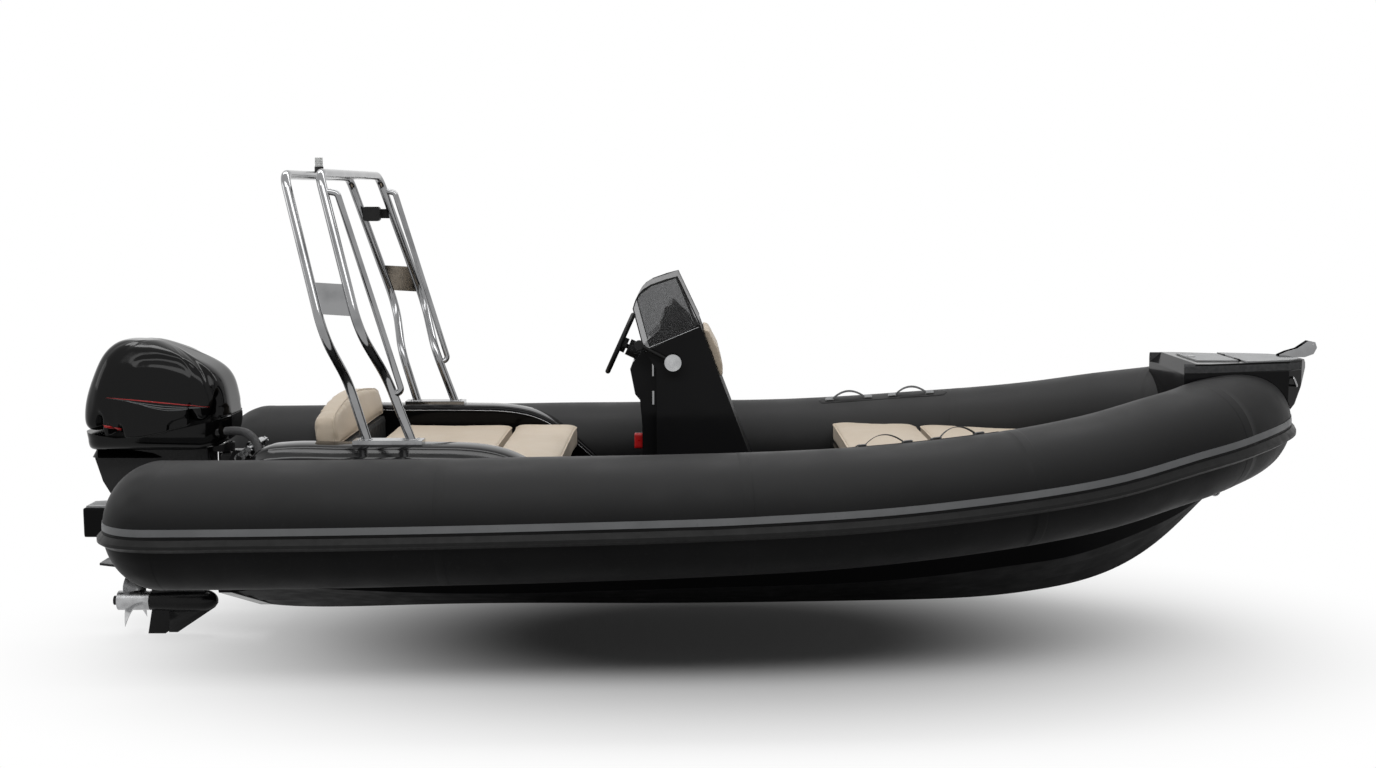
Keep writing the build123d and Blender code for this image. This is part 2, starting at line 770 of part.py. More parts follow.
def battery_switch():
    """The tall red key on the helm's aft face."""
    body = block((-386, -340), (-197, -167), (516, 594))
    return fillet(body.edges().filter_by(Axis.X), 9) - CONSOLE


def wheel_place():
    """The steering wheel's centre, with z along its shaft, forward and down."""
    rake = radians(WHEEL_RAKE)
    return Plane(origin=WHEEL_CENTRE, x_dir=(0, 1, 0), z_dir=(cos(rake), 0, -sin(rake)))


def steering_wheel():
    place = wheel_place()
    rim = Torus(WHEEL_RADIUS, WHEEL_RIM)
    hub = Pos(0, 0, 14) * Cylinder(38, 40)
    wheel = rim + hub
    for turn in (90, 210, 330):
        wheel = wheel + Rot(0, 0, turn) * Pos(WHEEL_RADIUS / 2, 0, 4) * Box(WHEEL_RADIUS, 24, 8)
    return place * (wheel + Pos(0, 0, 55) * Cylinder(SHAFT_RADIUS, 70))


def helm_boss():
    body = Cylinder(42, 95) - Pos(0, 0, -20) * Cylinder(SHAFT_RADIUS + PIN_GAP, 60)
    return wheel_place() * Pos(0, 0, 90) * body - CONSOLE


# ---- Engine ---------------------------------------------------------------------------------
def clamp_bracket():
    side = (
        (-2425, 130), (TRANSOM_AFT, 130), (TRANSOM_AFT, TRANSOM_TOP),
        (TRANSOM_AFT + TRANSOM_THICK, TRANSOM_TOP), (TRANSOM_AFT + TRANSOM_THICK, 260),
        (-2236, 260), (-2236, 400), (-2300, 400), (-2312, 425), (-2310, 470), (-2330, 500),
        (-2395, 500), (-2425, 440),
    )
    port = side_prism(side, CLAMP_INNER, CLAMP_INNER + CLAMP_THICK)
    tube = Pos(TILT_X, 0, TILT_Z) * Rot(90, 0, 0) * Cylinder(TILT_TUBE_RADIUS, 340)
    return port + to_starboard(port) + tube


def swivel_bracket():
    half = CLAMP_INNER - 10
    middle = (SWIVEL_LOW + SWIVEL_TOP) / 2
    tube = Pos(STEER_X, 0, middle) * Cylinder(SWIVEL_RADIUS, SWIVEL_TOP - SWIVEL_LOW)
    arm = side_prism(
        ((STEER_X, 330), (-2400, 380), (-2334, 440), (-2334, 486), (-2385, 486),
         (-2405, SWIVEL_TOP), (STEER_X, SWIVEL_TOP)),
        -half, half,
    )
    bore = Pos(TILT_X, 0, TILT_Z) * Rot(90, 0, 0) * Cylinder(TILT_TUBE_RADIUS + PIN_GAP, 400)
    king = Pos(STEER_X, 0, middle) * Cylinder(KINGPIN_RADIUS + PIN_GAP, 600)
    return tube + arm - bore - king


def midsection():
    side = (
        (-2540, 540), (-2540, 60), (-2600, -95), (-2905, -95), (-2935, 110), (-3040, 240),
        (-3092, 323), (-3130, 440), (-3130, 500),
    )
    plan = ((-2540, 85), (-2800, 85), (-3140, 30), (-3140, -30), (-2800, -85), (-2540, -85))
    leg = side_prism(side, -85, 85) & plan_prism(plan, -200, 600)
    middle = (SWIVEL_LOW + SWIVEL_TOP) / 2
    pin = Pos(STEER_X, 0, middle) * Cylinder(KINGPIN_RADIUS, SWIVEL_TOP - SWIVEL_LOW + 20)
    arms = None
    for low, high in ((SWIVEL_TOP + 6, 520), (SWIVEL_LOW - 36, SWIVEL_LOW - 6)):
        eye = Pos(STEER_X, 0, (low + high) / 2) * Cylinder(42, high - low)
        arm = eye + block((-2545, STEER_X), (-42, 42), (low, high))
        arms = arm if arms is None else arms + arm
    return leg + pin + arms - COWL_FORM


SEAM = ((-3200, 600), (-2980, 566), (-2830, 574), (-2380, 670))


# z, aft x, fore x, half-width and corner radius of the cowl from above
COWL_SECTIONS = (
    (455, -3136, -2760, 110, 60),
    (520, -3152, -2460, 172, 90),
    (600, -3166, -2390, 0.97 * COWL_HALF, 108),
    (700, -3162, -2387, COWL_HALF, 115),
    (830, -3126, -2403, 0.985 * COWL_HALF, 115),
    (925, -3085, -2452, 0.90 * COWL_HALF, 104),
    (1005, -3036, -2600, 0.72 * COWL_HALF, 86),
    (1046, -2990, -2740, 0.48 * COWL_HALF, 60),
    (1059, -2930, -2820, 0.22 * COWL_HALF, 30),
)


def cowl_form():
    """The cowl's outside, lofted through rounded outlines seen from above."""
    sections = []
    for z, aft, fore, half, corner in COWL_SECTIONS:
        plan = Pos((aft + fore) / 2, 0, z) * RectangleRounded(fore - aft, 2 * half, corner)
        sections.append(plan)
    return loft(sections)


COWL_FORM = cowl_form()


def top_cowl():
    above = SEAM + ((-2380, 1200), (-3200, 1200))
    cavity = block((-3050, -2490), (-150, 150), (500, 890))
    return (COWL_FORM & side_prism(above, -300, 300)) - cavity


def lower_cowl():
    below = SEAM + ((-2380, 300), (-3200, 300))
    return (COWL_FORM & side_prism(below, -300, 300)) - hose_room() + engine_grommet()


def powerhead():
    below = SEAM + ((-2380, 300), (-3200, 300))
    return block((-3035, -2505), (-135, 135), (500, 870)) - side_prism(below, -300, 300)


def gearcase():
    plate = plan_prism(
        ((-3120, -60), (-3120, 60), (-2980, 118), (-2760, 110), (-2580, 40), (-2580, -40),
         (-2760, -110), (-2980, -118)),
        -107, -95,
    )
    strut = side_prism(
        ((-2605, -107), (-2905, -107), (-2876, -200), (-2870, PROP_AXIS_Z), (-2600, PROP_AXIS_Z)),
        -22, 22,
    )
    fore, aft = GEARCASE_FORE, GEARCASE_AFT
    bullet = [
        EllipticalCenterArc((fore, 0), NOSE_LENGTH, GEARCASE_RADIUS, start_angle=0, arc_size=90),
        Line((fore, GEARCASE_RADIUS), (fore - 120, GEARCASE_RADIUS)),
        Line((fore - 120, GEARCASE_RADIUS), (aft, PROP_HUB)),
        Line((aft, PROP_HUB), (aft, 0)),
        Line((aft, 0), (fore + NOSE_LENGTH, 0)),
    ]
    torpedo = Pos(0, 0, PROP_AXIS_Z) * revolve(make_face(bullet), axis=Axis.X)
    skeg = side_prism(
        ((-2640, PROP_AXIS_Z), (-2640, -352), (-2816, -479), (-2905, -479), (-2873, PROP_AXIS_Z)),
        -6, 6,
    )
    shaft = rod_between((-2870, 0, PROP_AXIS_Z), (PROP_AFT - 6, 0, PROP_AXIS_Z), PROP_SHAFT)
    nut = rod_between((PROP_AFT - 6, 0, PROP_AXIS_Z), (PROP_AFT - 24, 0, PROP_AXIS_Z), 24)
    return plate + strut + torpedo + skeg + shaft + nut


def propeller():
    """Three pitched blades round a hub on the gearcase's shaft."""
    length = PROP_FORE - PROP_AFT
    hub = Pos((PROP_FORE + PROP_AFT) / 2, 0, PROP_AXIS_Z) * Rot(0, 90, 0) * Cylinder(PROP_HUB, length)
    sections = []
    for radius, chord, thick in ((40, 110, 12), (90, 135, 9), (130, 120, 6), (PROP_RADIUS, 60, 3)):
        pitch = degrees(atan2(PROP_PITCH, 2 * pi * radius))
        lens = make_face([
            ThreePointArc((-chord / 2, 0), (0, thick * 0.75), (chord / 2, 0)),
            ThreePointArc((chord / 2, 0), (0, -thick * 0.25), (-chord / 2, 0)),
        ])
        place = Plane(origin=(0, 0, radius), x_dir=(0, 1, 0), z_dir=(0, 0, 1))
        sections.append(place * Rot(0, 0, -pitch) * lens)
    blade = loft(sections)
    centre = Pos((PROP_FORE + PROP_AFT) / 2, 0, PROP_AXIS_Z)
    for number in range(PROP_BLADES):
        hub = hub + centre * Rot(360 * number / PROP_BLADES, 0, 0) * blade
    bore = Pos((PROP_FORE + PROP_AFT) / 2, 0, PROP_AXIS_Z) * Rot(0, 90, 0)
    return hub - bore * Cylinder(PROP_SHAFT + PIN_GAP, 400)


def steering_cylinder():
    """The hydraulic cylinder ahead of the tilt tube, on two arms that turn on that tube."""
    x = TILT_X + 52
    z = TILT_Z + 50
    arm_low = CLAMP_INNER + CLAMP_THICK + 5
    arm_high = arm_low + 12
    body = rod_between((x, -80, z), (x, 80, z), 22)
    rod = rod_between((x, -arm_high, z), (x, arm_high, z), 8)
    side = ((TILT_X - 14, TILT_Z + 18), (TILT_X + 18, TILT_Z - 14), (x + 14, z - 8), (x - 8, z + 14))
    arm = side_prism(side, arm_low, arm_high)
    arm = arm + rod_between((TILT_X, arm_low, TILT_Z), (TILT_X, arm_high, TILT_Z), 24)
    bore = Pos(TILT_X, 0, TILT_Z) * Rot(90, 0, 0) * Cylinder(TILT_TUBE_RADIUS + PIN_GAP, 500)
    return body + rod + arm + to_starboard(arm) - bore


HOSE_ROUTE = (
    (-2418, -176, 602),
    (-2352, -206, 612),
    (-2291, -245, 588),
    (-2243, -300, 531),
    (-2214, -365, 459),
    (-2194, -438, 393),
    (-2168, -515, 344),
    (-2140, -600, 318),
)


def rigging_hose():
    """The corrugated rigging hose from the engine's front to the starboard side deck."""
    points = [Vector(*p) for p in HOSE_ROUTE]
    radii = []
    for before, corner, after in zip(points, points[1:], points[2:]):
        turn = radians((corner - before).get_angle(after - corner))
        shorter = min((corner - before).length, (after - corner).length)
        radii.append(0.45 * shorter / tan(turn / 2))
    path = FilletPolyline(*HOSE_ROUTE, radius=radii)
    start = Plane(origin=path @ 0, z_dir=path % 0)
    print("hose bend radii", [round(r) for r in radii], "length", round(path.length))
    return sweep(start * Circle(HOSE_RADIUS), path=path)


def hose_gland():
    end = Vector(*HOSE_ROUTE[-1])
    way = (end - Vector(*HOSE_ROUTE[-2])).normalized()
    collar = extrude(Plane(origin=end, z_dir=way) * Circle(HOSE_RADIUS + 8), 60)
    return collar - to_starboard(side_deck()) & block((-3000, 0), (-SIDE_DECK_INNER, 0), (0, 900))


def hose_room():
    """Space round the hose where it leaves the grommet."""
    start = Vector(*HOSE_ROUTE[0])
    way = (Vector(*HOSE_ROUTE[1]) - start).normalized()
    return extrude(Plane(origin=start - way * SEAT_GAP, z_dir=way) * Circle(HOSE_RADIUS + 7), 110)


def engine_grommet():
    start = Vector(*HOSE_ROUTE[0])
    way = (Vector(*HOSE_ROUTE[1]) - start).normalized()
    collar = extrude(Plane(origin=start - way * SEAT_GAP, z_dir=-way) * Circle(HOSE_RADIUS + 7), 90)
    return collar


NODES = {
    "hull": hull(),
    "deck": deck(),
    "transom": transom(),
    "tube_port": TUBE_PORT,
    "rub_strake_port": rub_strake(),
    "strake_stripe_port": strake_stripe(),
    "tube_handles_port": tube_handles(),
    "sundeck": sundeck(),
    "bow_cushion_aft": bow_cushion(SUNDECK_AFT, SUNDECK_SEAM - 4),
    "bow_cushion_fore": bow_cushion(SUNDECK_SEAM, SUNDECK_TIP),
    "bow_step": BOW_STEP,
    "anchor_hatch": anchor_hatch(),
    "step_pad": step_pad(),
    "hatch_pad": hatch_pad(),
    "bow_roller_bracket": bow_roller_bracket(),
    "bow_roller": bow_roller(),
    "bow_eye": bow_eye(),
    "bow_cleats": bow_cleats(),
    "side_deck_port": side_deck(),
    "stern_bench": bench_base(),
    "stern_cushion_aft": bench_cushion(-1700, BENCH_SEAM - 4),
    "stern_cushion_fore": bench_cushion(BENCH_SEAM, -715),
    "backrest": backrest(),
    "backrest_brackets": both_sides(backrest_bracket()),
    "swim_platform_port": swim_platform(),
    "platform_pads": both_sides(platform_pad()),
    "rollbar_hoop_aft": HOOP_AFT,
    "rollbar_hoop_fore": HOOP_FORE,
    "rollbar_feet": both_sides(foot_plate()),
    "rollbar_plates": both_sides(leg_plate()),
    "grab_rail_port": grab_rail(),
    "horn": horn(),
    "mast_light_base": mast_light_base(),
    "mast_light_lens": mast_light_lens(),
    "console": CONSOLE,
    "windscreen": windscreen(),
    "console_pad": console_pad(),
    "throttle_hub": throttle_hub(),
    "throttle_lever": throttle_lever(),
    "battery_switch": battery_switch(),
    "steering_wheel": steering_wheel(),
    "clamp_bracket": clamp_bracket(),
    "swivel_bracket": swivel_bracket(),
    "engine_midsection": midsection(),
    "top_cowl": top_cowl(),
    "lower_cowl": lower_cowl(),
    "powerhead": powerhead(),
    "gearcase": gearcase(),
    "propeller": propeller(),
    "steering_cylinder": steering_cylinder(),
    "helm_boss": helm_boss(),
    "rigging_hose": rigging_hose(),
    "hose_gland": hose_gland(),
}
for name in list(NODES):
    if name.endswith("_port"):
        NODES[name.replace("_port", "_starboard")] = to_starboard(NODES[name])

for name, part in NODES.items():
    export_step(part, f"parts/{name}.step")
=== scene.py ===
"""Looks of the inflatable boat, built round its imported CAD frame.

Metres, in the CAD's frame: +X bow, +Y port, +Z up, origin at the waterline.
"""
from math import cos, pi, radians, sin, sqrt

import bmesh
import bpy
import numpy as np
from mathutils import Matrix, Vector
from mathutils.bvhtree import BVHTree


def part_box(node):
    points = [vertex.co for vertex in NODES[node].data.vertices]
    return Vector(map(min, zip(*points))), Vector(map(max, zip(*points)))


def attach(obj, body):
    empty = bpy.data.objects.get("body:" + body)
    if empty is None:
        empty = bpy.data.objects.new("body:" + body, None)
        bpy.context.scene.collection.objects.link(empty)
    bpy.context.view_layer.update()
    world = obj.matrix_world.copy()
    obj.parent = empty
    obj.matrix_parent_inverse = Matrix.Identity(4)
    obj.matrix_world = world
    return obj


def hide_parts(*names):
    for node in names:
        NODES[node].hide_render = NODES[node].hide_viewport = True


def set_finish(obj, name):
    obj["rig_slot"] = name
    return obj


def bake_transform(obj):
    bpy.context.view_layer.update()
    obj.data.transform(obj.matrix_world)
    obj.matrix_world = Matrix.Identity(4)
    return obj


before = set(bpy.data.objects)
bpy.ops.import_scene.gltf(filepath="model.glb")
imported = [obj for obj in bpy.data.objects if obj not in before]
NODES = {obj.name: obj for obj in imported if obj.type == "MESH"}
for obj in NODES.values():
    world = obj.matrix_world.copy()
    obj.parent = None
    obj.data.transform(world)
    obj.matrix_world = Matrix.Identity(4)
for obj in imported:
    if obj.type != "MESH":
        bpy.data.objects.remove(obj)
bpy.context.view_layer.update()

FLOOR_Z = -0.485
CAMERA_PLACE = (-0.12, -8.05, 1.788)
CAMERA_DIP = 6.878
CAMERA_LENS = 41.86


# ---- Shader building ----------------------------------------------------------------------
FINISHES = {}


def add_node(tree, kind, values=(), **settings):
    """A shader node with its settings and the values of its inputs."""
    node = tree.nodes.new(kind)
    for key, value in settings.items():
        setattr(node, key, value)
    for label, value in dict(values).items():
        node.inputs[label].default_value = value
    return node


def colours(sockets):
    return [socket for socket in sockets if socket.type == "RGBA"]


def mix_shaders(tree, share, first, second, target):
    mix = add_node(tree, "ShaderNodeMixShader")
    for source, socket in zip((share, first, second), mix.inputs):
        tree.links.new(source, socket)
    tree.links.new(mix.outputs[0], target)


class Finish:
    """One material: a Principled shader with procedural colour, roughness and bump."""

    def __init__(self, name, colour, roughness, metallic=0.0, **sockets):
        self.material = bpy.data.materials.new(name)
        self.material.use_nodes = True
        self.tree = self.material.node_tree
        self.shader = self.tree.nodes["Principled BSDF"]
        self.colour = (*colour, 1)
        sockets |= {"Base Color": self.colour, "Roughness": roughness, "Metallic": metallic}
        for label, value in sockets.items():
            self.shader.inputs[label.replace("_", " ")].default_value = value
        self.place = self.add("ShaderNodeTexCoord").outputs["Object"]
        self.relief = None
        self.tint = None
        FINISHES[name] = self

    def add(self, kind, values=(), **settings):
        return add_node(self.tree, kind, values, **settings)

    def link(self, source, target):
        self.tree.links.new(source, target)

    def texture(self, kind, values, result, stretch=None, **settings):
        """A texture laid in the object's coordinates, stretched by three factors if they are given."""
        node = self.add(kind, values, **settings)
        place = self.place
        if stretch:
            mapping = self.add("ShaderNodeMapping", {"Scale": stretch})
            self.link(place, mapping.inputs["Vector"])
            place = mapping.outputs["Vector"]
        self.link(place, node.inputs["Vector"])
        return node.outputs[result]

    def noise(self, scale, detail, stretch=None, distortion=0.0):
        values = {"Scale": scale, "Detail": detail, "Distortion": distortion}
        return self.texture("ShaderNodeTexNoise", values, "Fac", stretch)

    def cells(self, scale, feature="DISTANCE_TO_EDGE"):
        return self.texture("ShaderNodeTexVoronoi", {"Scale": scale}, "Distance", feature=feature)

    def waves(self, scale, direction):
        values = {"Scale": scale, "Distortion": 0.0}
        return self.texture("ShaderNodeTexWave", values, "Fac", bands_direction=direction)

    def spread(self, value, low, high, start=0.3, end=0.7, **settings):
        """Maps value from start..end to low..high."""
        values = {"From Min": start, "From Max": end, "To Min": low, "To Max": high}
        node = self.add("ShaderNodeMapRange", values, **settings)
        self.link(value, node.inputs["Value"])
        return node.outputs["Result"]

    def maths(self, operation, first, second):
        node = self.add("ShaderNodeMath", operation=operation)
        self.link(first, node.inputs[0])
        self.link(second, node.inputs[1])
        return node.outputs["Value"]

    def mottle(self, value, other, low=0.35, high=0.7, most=1.0):
        """Mixes the colour so far towards another where value is high."""
        node = self.add("ShaderNodeMix", data_type="RGBA")
        self.link(self.spread(value, 0.0, most, low, high), node.inputs["Factor"])
        first, second = colours(node.inputs)
        second.default_value = (*other, 1)
        if self.tint is None:
            first.default_value = self.colour
        else:
            self.link(self.tint, first)
        self.tint = colours(node.outputs)[0]
        self.link(self.tint, self.shader.inputs["Base Color"])
        return self

    def rough(self, value, low, high):
        self.link(self.spread(value, low, high), self.shader.inputs["Roughness"])
        return self

    def face(self, node):
        """Takes the surface's normal from a node."""
        self.relief = node.outputs["Normal"]
        self.link(self.relief, self.shader.inputs["Normal"])
        return self

    def bump(self, value, distance, strength):
        """Adds relief, distance in metres."""
        node = self.add("ShaderNodeBump", {"Distance": distance, "Strength": strength})
        self.link(value, node.inputs["Height"])
        if self.relief is not None:
            self.link(self.relief, node.inputs["Normal"])
        return self.face(node)

    def rounded(self, radius):
        """Softens sharp edges in the shading."""
        return self.face(self.add("ShaderNodeBevel", {"Radius": radius}, samples=4))

    def painted_top_light(self, other):
        """Painted light: the cloth is paler where its normal faces up, standing in for the light from above.
        """
        parts = self.add("ShaderNodeSeparateXYZ")
        self.link(self.add("ShaderNodeNewGeometry").outputs["Normal"], parts.inputs[0])
        share = self.spread(
            parts.outputs["Z"], 0.0, 1.0, -0.15, 0.85, interpolation_type="SMOOTHSTEP"
        )
        return self.mottle(share, other, 0.0, 1.0)

    def worn(self, other):
        """Lightens raised edges, where hands and ropes rub."""
        edge = self.add("ShaderNodeNewGeometry").outputs["Pointiness"]
        return self.mottle(edge, other, 0.52, 0.62, 0.5)


def make_finishes():
    """Every finish of the boat, under its slot's name."""
    gel = Finish("gelcoat_black", (0.0030, 0.0030, 0.0033), 0.16, Specular_IOR_Level=0.06).rounded(0.005)
    gel.mottle(gel.noise(2.2, 4), (0.0052, 0.0052, 0.0056), 0.4, 0.7)
    gel.mottle(gel.noise(420, 2), (0.014, 0.014, 0.015), 0.66, 0.74, 0.5)
    gel.rough(gel.noise(9, 5), 0.08, 0.18)
    gel.bump(gel.noise(60, 2), 0.0003, 0.2).worn((0.02, 0.02, 0.021))

    tube = Finish("tube_fabric", (0.0100, 0.0100, 0.0103), 0.5, Specular_IOR_Level=0.06)
    tube.mottle(tube.noise(1.7, 5), (0.0160, 0.0160, 0.0165), 0.35, 0.75)
    tube.mottle(tube.noise(34, 6, distortion=0.6), (0.022, 0.022, 0.0225), 0.58, 0.78, 0.5)
    tube.rough(tube.noise(6, 6), 0.42, 0.58)
    weave = tube.maths("MAXIMUM", tube.waves(260, "X"), tube.waves(260, "Z"))
    tube.bump(weave, 0.00012, 0.5).bump(tube.noise(900, 2), 0.0002, 0.4)
    tube.bump(tube.noise(5, 2), 0.004, 0.12)
    # painted light: the tube's upper side is lightened by how far its normal faces up, as if lit from above
    tube.painted_top_light((0.046, 0.046, 0.0465))

    strake = Finish("strake_rubber", (0.0095, 0.0095, 0.0095), 0.45, Specular_IOR_Level=0.15)
    strake.mottle(strake.noise(14, 5), (0.017, 0.017, 0.017), 0.45, 0.75, 0.8)
    strake.rough(strake.noise(25, 4), 0.36, 0.56)
    strake.bump(strake.noise(700, 2), 0.0002, 0.5)

    stripe = Finish("stripe_grey", (0.20, 0.205, 0.21), 0.42, Specular_IOR_Level=0.3)
    stripe.mottle(stripe.noise(5, 5), (0.24, 0.246, 0.252), 0.4, 0.7)
    stripe.mottle(stripe.noise(60, 5), (0.14, 0.145, 0.15), 0.62, 0.8, 0.5)
    stripe.rough(stripe.noise(12, 4), 0.36, 0.52)
    stripe.bump(stripe.noise(500, 2), 0.00015, 0.4)

    sand = Finish(
        "upholstery_sand", (0.60, 0.505, 0.395), 0.5,
        Specular_IOR_Level=0.3, Sheen_Weight=0.1, Sheen_Roughness=0.5,
    )
    sand.mottle(sand.noise(3.5, 5), (0.655, 0.56, 0.445), 0.35, 0.7)
    sand.mottle(sand.cells(420, "F1"), (0.50, 0.41, 0.305), 0.35, 0.7, 0.35)
    sand.rough(sand.noise(14, 4), 0.42, 0.58)
    sand.bump(sand.cells(420), 0.0004, 0.55).bump(sand.noise(1400, 2), 0.0001, 0.4)
    sand.bump(sand.noise(18, 2), 0.002, 0.15)

    pad = Finish("deck_pad_grey", (0.47, 0.475, 0.48), 0.78, Specular_IOR_Level=0.2)
    pad.mottle(pad.noise(6, 5), (0.54, 0.545, 0.55), 0.4, 0.7)
    pad.mottle(pad.cells(240, "F1"), (0.36, 0.365, 0.37), 0.3, 0.6, 0.5)
    pad.rough(pad.noise(30, 3), 0.7, 0.86)
    pad.bump(pad.cells(240, "F1"), 0.0008, 0.8)

    # painted shade: the steel's colour is set darker than bare steel, standing in for the dark surroundings
    # it would mirror
    steel = Finish("polished_steel", (0.27, 0.272, 0.276), 0.10, 1.0)
    steel.mottle(steel.noise(7, 5), (0.20, 0.202, 0.206), 0.45, 0.7)
    steel.rough(steel.noise(40, 5), 0.06, 0.16)
    steel.bump(steel.noise(90, 3, stretch=(1, 1, 0.12)), 0.0002, 0.12)

    matte = Finish("matte_black", (0.0065, 0.0065, 0.0065), 0.5, Specular_IOR_Level=0.15).rounded(0.002)
    matte.mottle(matte.noise(20, 4), (0.014, 0.014, 0.014), 0.45, 0.7)
    matte.rough(matte.noise(30, 4), 0.4, 0.6)
    matte.bump(matte.cells(900, "F1"), 0.0002, 0.4).worn((0.04, 0.04, 0.04))

    lens = Finish(
        "light_lens", (0.70, 0.71, 0.70), 0.25, Subsurface_Weight=0.2, Subsurface_Radius=(0.01,) * 3
    )
    lens.mottle(lens.noise(60, 3), (0.60, 0.61, 0.60))
    lens.rough(lens.noise(50, 3), 0.2, 0.35)
    lens.bump(lens.waves(160, "Z"), 0.0006, 0.5)

    screen = Finish(
        "smoked_acrylic", (0.35, 0.352, 0.355), 0.03,
        Transmission_Weight=0.92, IOR=1.1, Specular_IOR_Level=0.5,
    )
    screen.mottle(screen.noise(4, 4), (0.39, 0.392, 0.395))
    screen.rough(screen.noise(30, 5), 0.03, 0.10)
    screen.bump(screen.noise(40, 2), 0.0002, 0.1)

    # painted shade: an opaque, darker copy of the smoked acrylic, laid on the screen's front, roof and edges
    # by face direction
    edge = Finish("smoked_painted_shade", (0.070, 0.070, 0.071), 0.4, Specular_IOR_Level=0.08)
    edge.mottle(edge.noise(6, 4), (0.075, 0.076, 0.078))
    edge.rough(edge.noise(40, 4), 0.3, 0.45)
    edge.bump(edge.noise(60, 2), 0.0002, 0.1)

    bottom = Finish("hull_black", (0.0042, 0.0042, 0.0045), 0.45, Specular_IOR_Level=0.02).rounded(0.005)
    bottom.mottle(bottom.noise(2.2, 4), (0.0070, 0.0070, 0.0074), 0.4, 0.7)
    bottom.rough(bottom.noise(9, 5), 0.38, 0.52)
    bottom.bump(bottom.noise(60, 2), 0.0001, 0.1)

    gloss = Finish("deck_gloss", (0.0032, 0.0032, 0.0035), 0.07, Specular_IOR_Level=0.09).rounded(0.004)
    gloss.mottle(gloss.noise(2.2, 4), (0.0052, 0.0052, 0.0056), 0.4, 0.7)
    gloss.rough(gloss.noise(9, 5), 0.06, 0.12)
    gloss.bump(gloss.noise(60, 2), 0.0001, 0.1)

    hub = Finish("chrome_hub", (0.44, 0.445, 0.45), 0.24, 1.0)
    hub.mottle(hub.noise(30, 4), (0.34, 0.345, 0.35))
    hub.rough(hub.noise(80, 4), 0.18, 0.34)
    hub.bump(hub.noise(600, 2), 0.0001, 0.3)

    red = Finish("signal_red", (0.48, 0.004, 0.006), 0.3)
    red.mottle(red.noise(40, 4), (0.56, 0.012, 0.012))
    red.rough(red.noise(60, 4), 0.24, 0.4)
    red.bump(red.noise(500, 2), 0.0001, 0.3).worn((0.6, 0.06, 0.05))

    cowl = Finish("cowl_black", (0.0026, 0.0026, 0.0028), 0.07, Specular_IOR_Level=0.15)
    cowl.mottle(cowl.noise(600, 2), (0.006, 0.006, 0.0062), 0.62, 0.72, 0.6)
    cowl.rough(cowl.noise(12, 4), 0.07, 0.14)
    cowl.bump(cowl.noise(70, 2), 0.0001, 0.05)

    engine = Finish("engine_black", (0.0055, 0.0055, 0.006), 0.26, Specular_IOR_Level=0.16).rounded(0.004)
    engine.mottle(engine.noise(9, 5), (0.0105, 0.0105, 0.011))
    engine.rough(engine.noise(16, 5), 0.2, 0.36)
    engine.bump(engine.noise(220, 3), 0.0003, 0.25).worn((0.035, 0.035, 0.035))

    alloy = Finish("propeller_alloy", (0.42, 0.425, 0.43), 0.3, 1.0)
    alloy.mottle(alloy.noise(20, 5), (0.30, 0.30, 0.305))
    alloy.rough(alloy.noise(50, 5), 0.2, 0.42)
    alloy.bump(alloy.noise(260, 3), 0.0003, 0.25)

    hose = Finish("hose_rubber", (0.035, 0.035, 0.036), 0.45, Specular_IOR_Level=0.3)
    hose.mottle(hose.noise(30, 5), (0.06, 0.06, 0.062))
    hose.rough(hose.noise(40, 4), 0.35, 0.55)
    hose.bump(hose.noise(500, 2), 0.0002, 0.4)

    web = Finish("webbing_grey", (0.075, 0.076, 0.078), 0.75, Specular_IOR_Level=0.2)
    web.mottle(web.noise(50, 5), (0.11, 0.112, 0.115))
    web.rough(web.noise(60, 3), 0.68, 0.85)
    web.bump(web.maths("MULTIPLY", web.waves(160, "X"), web.waves(160, "Y")), 0.0006, 0.8)


make_finishes()


def paint(piece, slot):
    """Gives a piece the one finish of that slot."""
    piece.data.materials.clear()
    piece.data.materials.append(FINISHES[slot].material)
    return piece


def paint_frame():
    """Gives each CAD node its finish, through the object's own slots."""
    for node in NODES.values():
        for place in node.material_slots:
            name = place.material.name.split(".")[0] if place.material else "matte_black"
            place.link = "OBJECT"
            place.material = FINISHES[name if name in FINISHES else "matte_black"].material
        for face in node.data.polygons:
            face.use_smooth = True
    for place in NODES["hull"].material_slots:
        place.material = FINISHES["hull_black"].material


# ---- Stage --------------------------------------------------------------------------------
def make_world():
    """Shows one brightness to the camera, to gloss and through glass, and lights with another."""
    world = bpy.data.worlds.new("studio")
    bpy.context.scene.world = world
    world.use_nodes = True
    tree = world.node_tree
    tree.nodes.clear()
    path = add_node(tree, "ShaderNodeLightPath")
    any_of = path.outputs["Is Camera Ray"]
    for kind in ("Is Glossy Ray", "Is Transmission Ray"):
        either = add_node(tree, "ShaderNodeMath", operation="MAXIMUM")
        tree.links.new(any_of, either.inputs[0])
        tree.links.new(path.outputs[kind], either.inputs[1])
        any_of = either.outputs[0]
    glows = []
    for strength in (0.13, 1.0):
        glow = add_node(tree, "ShaderNodeBackground", {"Color": (1, 1, 1, 1), "Strength": strength})
        glows.append(glow.outputs[0])
    surface = add_node(tree, "ShaderNodeOutputWorld").inputs["Surface"]
    mix_shaders(tree, any_of, *glows, surface)


